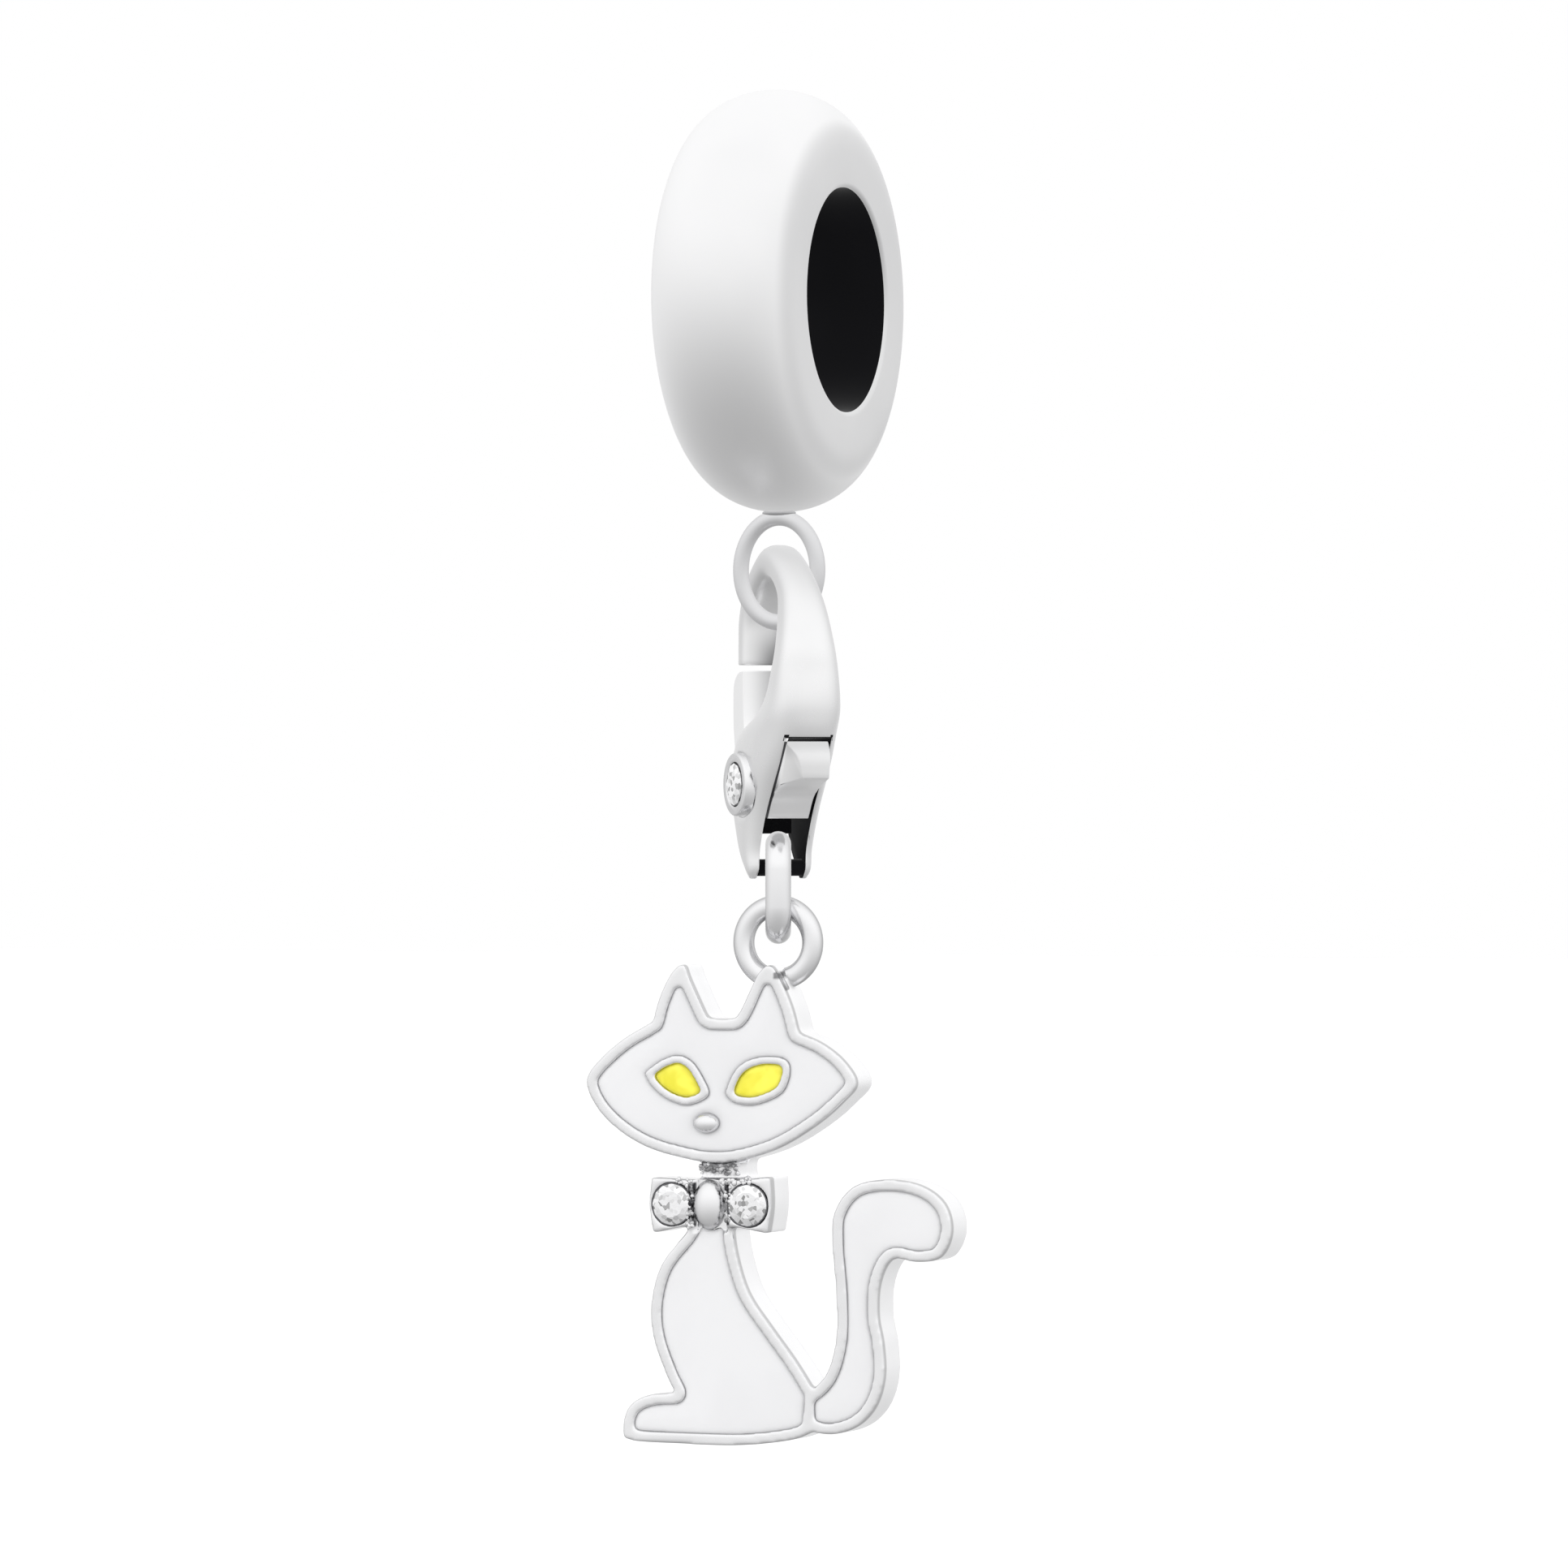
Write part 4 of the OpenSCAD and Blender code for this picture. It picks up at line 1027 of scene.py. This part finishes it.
def poured(node, rise):
    """A copy of an enamel slab that reaches its rim, and whose top swells to its middle."""
    bm = cast_copy(node, SLAB_STEPS)
    bm.normal_update()
    rim = KDTree(len(bm.verts))
    for index, v in enumerate(bm.verts):
        if abs(v.normal.y) < STEEP:
            rim.insert((v.co.x, 0, v.co.z), index)
    rim.balance()
    moves = {}
    for v in bm.verts:
        moves[v] = Vector((v.normal.x, 0, v.normal.z)) * GROWTH
        if v.normal.y < -STEEP:
            distance = rim.find((v.co.x, 0, v.co.z))[2]
            moves[v].y = -rise * (1 - math.exp(-distance / (SWELL * rise)))
    for v, move in moves.items():
        v.co += move
    return bm


for slot, (material, rise, nodes) in POURED.items():
    for node in nodes:
        finish_piece("poured_" + node, poured(node, rise), "cat", material, [node], crisp=80)

# %% [markdown]
# ## Crystals
# A rhinestone is clear glass with a mirror foil behind it. The foil is on the lower facets, so those get
# a metal finish and the upper ones clear glass. A tiny stone sparkles in more spots than its facets can
# draw, so cells of random brightness are laid over the foil.

# %% Crystal glass and foil
TINT_SCALE, TINT_STEP = 1500.0, (0.3, 0.7)
CELL_SCALE, CELL_STEP, CELL_DARK = 10000.0, (0.45, 1.0), (0.35, 0.35, 0.35, 1)
crystal_material, tree, shader = simple_material("clear_crystal")
place = tree.nodes.new("ShaderNodeTexCoord").outputs["Object"]
tint = mix_colours(tree, ramp(tree, noise_in(tree, TINT_SCALE, 2, place), *TINT_STEP),
                   (1.0, 1.0, 1.0, 1), (0.95, 0.96, 0.98, 1))
tree.links.new(tint, shader.inputs["Base Color"])
shader.inputs["Roughness"].default_value = 0.02
shader.inputs["IOR"].default_value = 1.5
shader.inputs["Transmission Weight"].default_value = 1.0
foil = metal("mirror_foil", (0.97, 0.97, 0.98), 0.12, wave=5000.0, bump=0.6, depth=0.03 * MM)
tree = foil.node_tree
shader = tree.nodes["Principled BSDF"]
cells = tree.nodes.new("ShaderNodeTexVoronoi")
cells.inputs["Scale"].default_value = CELL_SCALE
tree.links.new(tree.nodes.new("ShaderNodeTexCoord").outputs["Object"], cells.inputs["Vector"])
cell_parts = tree.nodes.new("ShaderNodeSeparateColor")
tree.links.new(cells.outputs["Color"], cell_parts.inputs["Color"])
base = shader.inputs["Base Color"].links[0].from_socket
mixed = mix_colours(tree, ramp(tree, cell_parts.outputs["Red"], *CELL_STEP), base, CELL_DARK)
tree.links.new(mixed, shader.inputs["Base Color"])
print("stones:", crystal_material.name, foil.name)

# %% [markdown]
# Each stone is one cone for the pavilion, closed at its tip. Its rim, the girdle, is extruded up and
# inwards to the flat table, and the table turned by half a facet, so that the crown gets triangles.
# The facets must stay flat, so they aren't smoothed.

# %% Crystals
FACETS = 12
TIP, PAVILION, TABLE, CROWN = 0.18, 0.36, 0.62, 0.16
BOW_STONE, CLASP_STONE = 0.505 * MM, 0.5 * MM
CUP_TOP = in_clasp @ (RIVET_AT + Vector((0, 1.11 * MM, 0)))


def cut_stone(node, body, at, outwards, radius):
    """A cut stone that faces a direction: girdle, crown with a table, and a foiled pavilion."""
    bm = bmesh.new()
    bmesh.ops.create_cone(bm, cap_ends=False, segments=FACETS, radius1=radius, radius2=TIP * radius,
                          depth=PAVILION * radius,
                          matrix=Matrix.Translation((0, 0, -PAVILION / 2 * radius))
                          @ Matrix.Rotation(math.pi, 4, "X"))
    girdle = [e for e in bm.edges if e.is_boundary and max(v.co.z for v in e.verts) > -0.01 * radius]
    tip = [e for e in bm.edges if e.is_boundary and e not in girdle]
    bmesh.ops.holes_fill(bm, edges=tip, sides=0)
    for f in bm.faces:
        f.material_index = 1
    made = bmesh.ops.extrude_edge_only(bm, edges=girdle)["geom"]
    table = [x for x in made if isinstance(x, bmesh.types.BMVert)]
    bmesh.ops.scale(bm, verts=table, vec=(TABLE, TABLE, 1))
    bmesh.ops.translate(bm, verts=table, vec=(0, 0, CROWN * radius))
    bmesh.ops.rotate(bm, verts=table, cent=(0, 0, 0), matrix=Matrix.Rotation(math.pi / FACETS, 3, "Z"))
    bmesh.ops.holes_fill(bm, edges=[e for e in bm.edges if e.is_boundary], sides=0)
    bmesh.ops.triangulate(bm, faces=[f for f in bm.faces if len(f.verts) == 4])
    bmesh.ops.recalc_face_normals(bm, faces=bm.faces)
    facing = Vector(outwards).to_track_quat("Z", "Y").to_matrix().to_4x4()
    bmesh.ops.transform(bm, verts=bm.verts, matrix=Matrix.Translation(at) @ facing)
    stone = finish_piece(node + "_cut", bm, body, crystal_material, [node], crisp=1)
    stone.data.materials.append(foil)


for side, node in ((-1, "bow_crystal_left"), (1, "bow_crystal_right")):
    cut_stone(node, "cat", BOW_AT + Vector((side * STONE_OFF, 0, 0)), (0, -1, 0), BOW_STONE)
cut_stone("clasp_crystal", "clasp", CUP_TOP, CRYSTAL_WAY, CLASP_STONE)
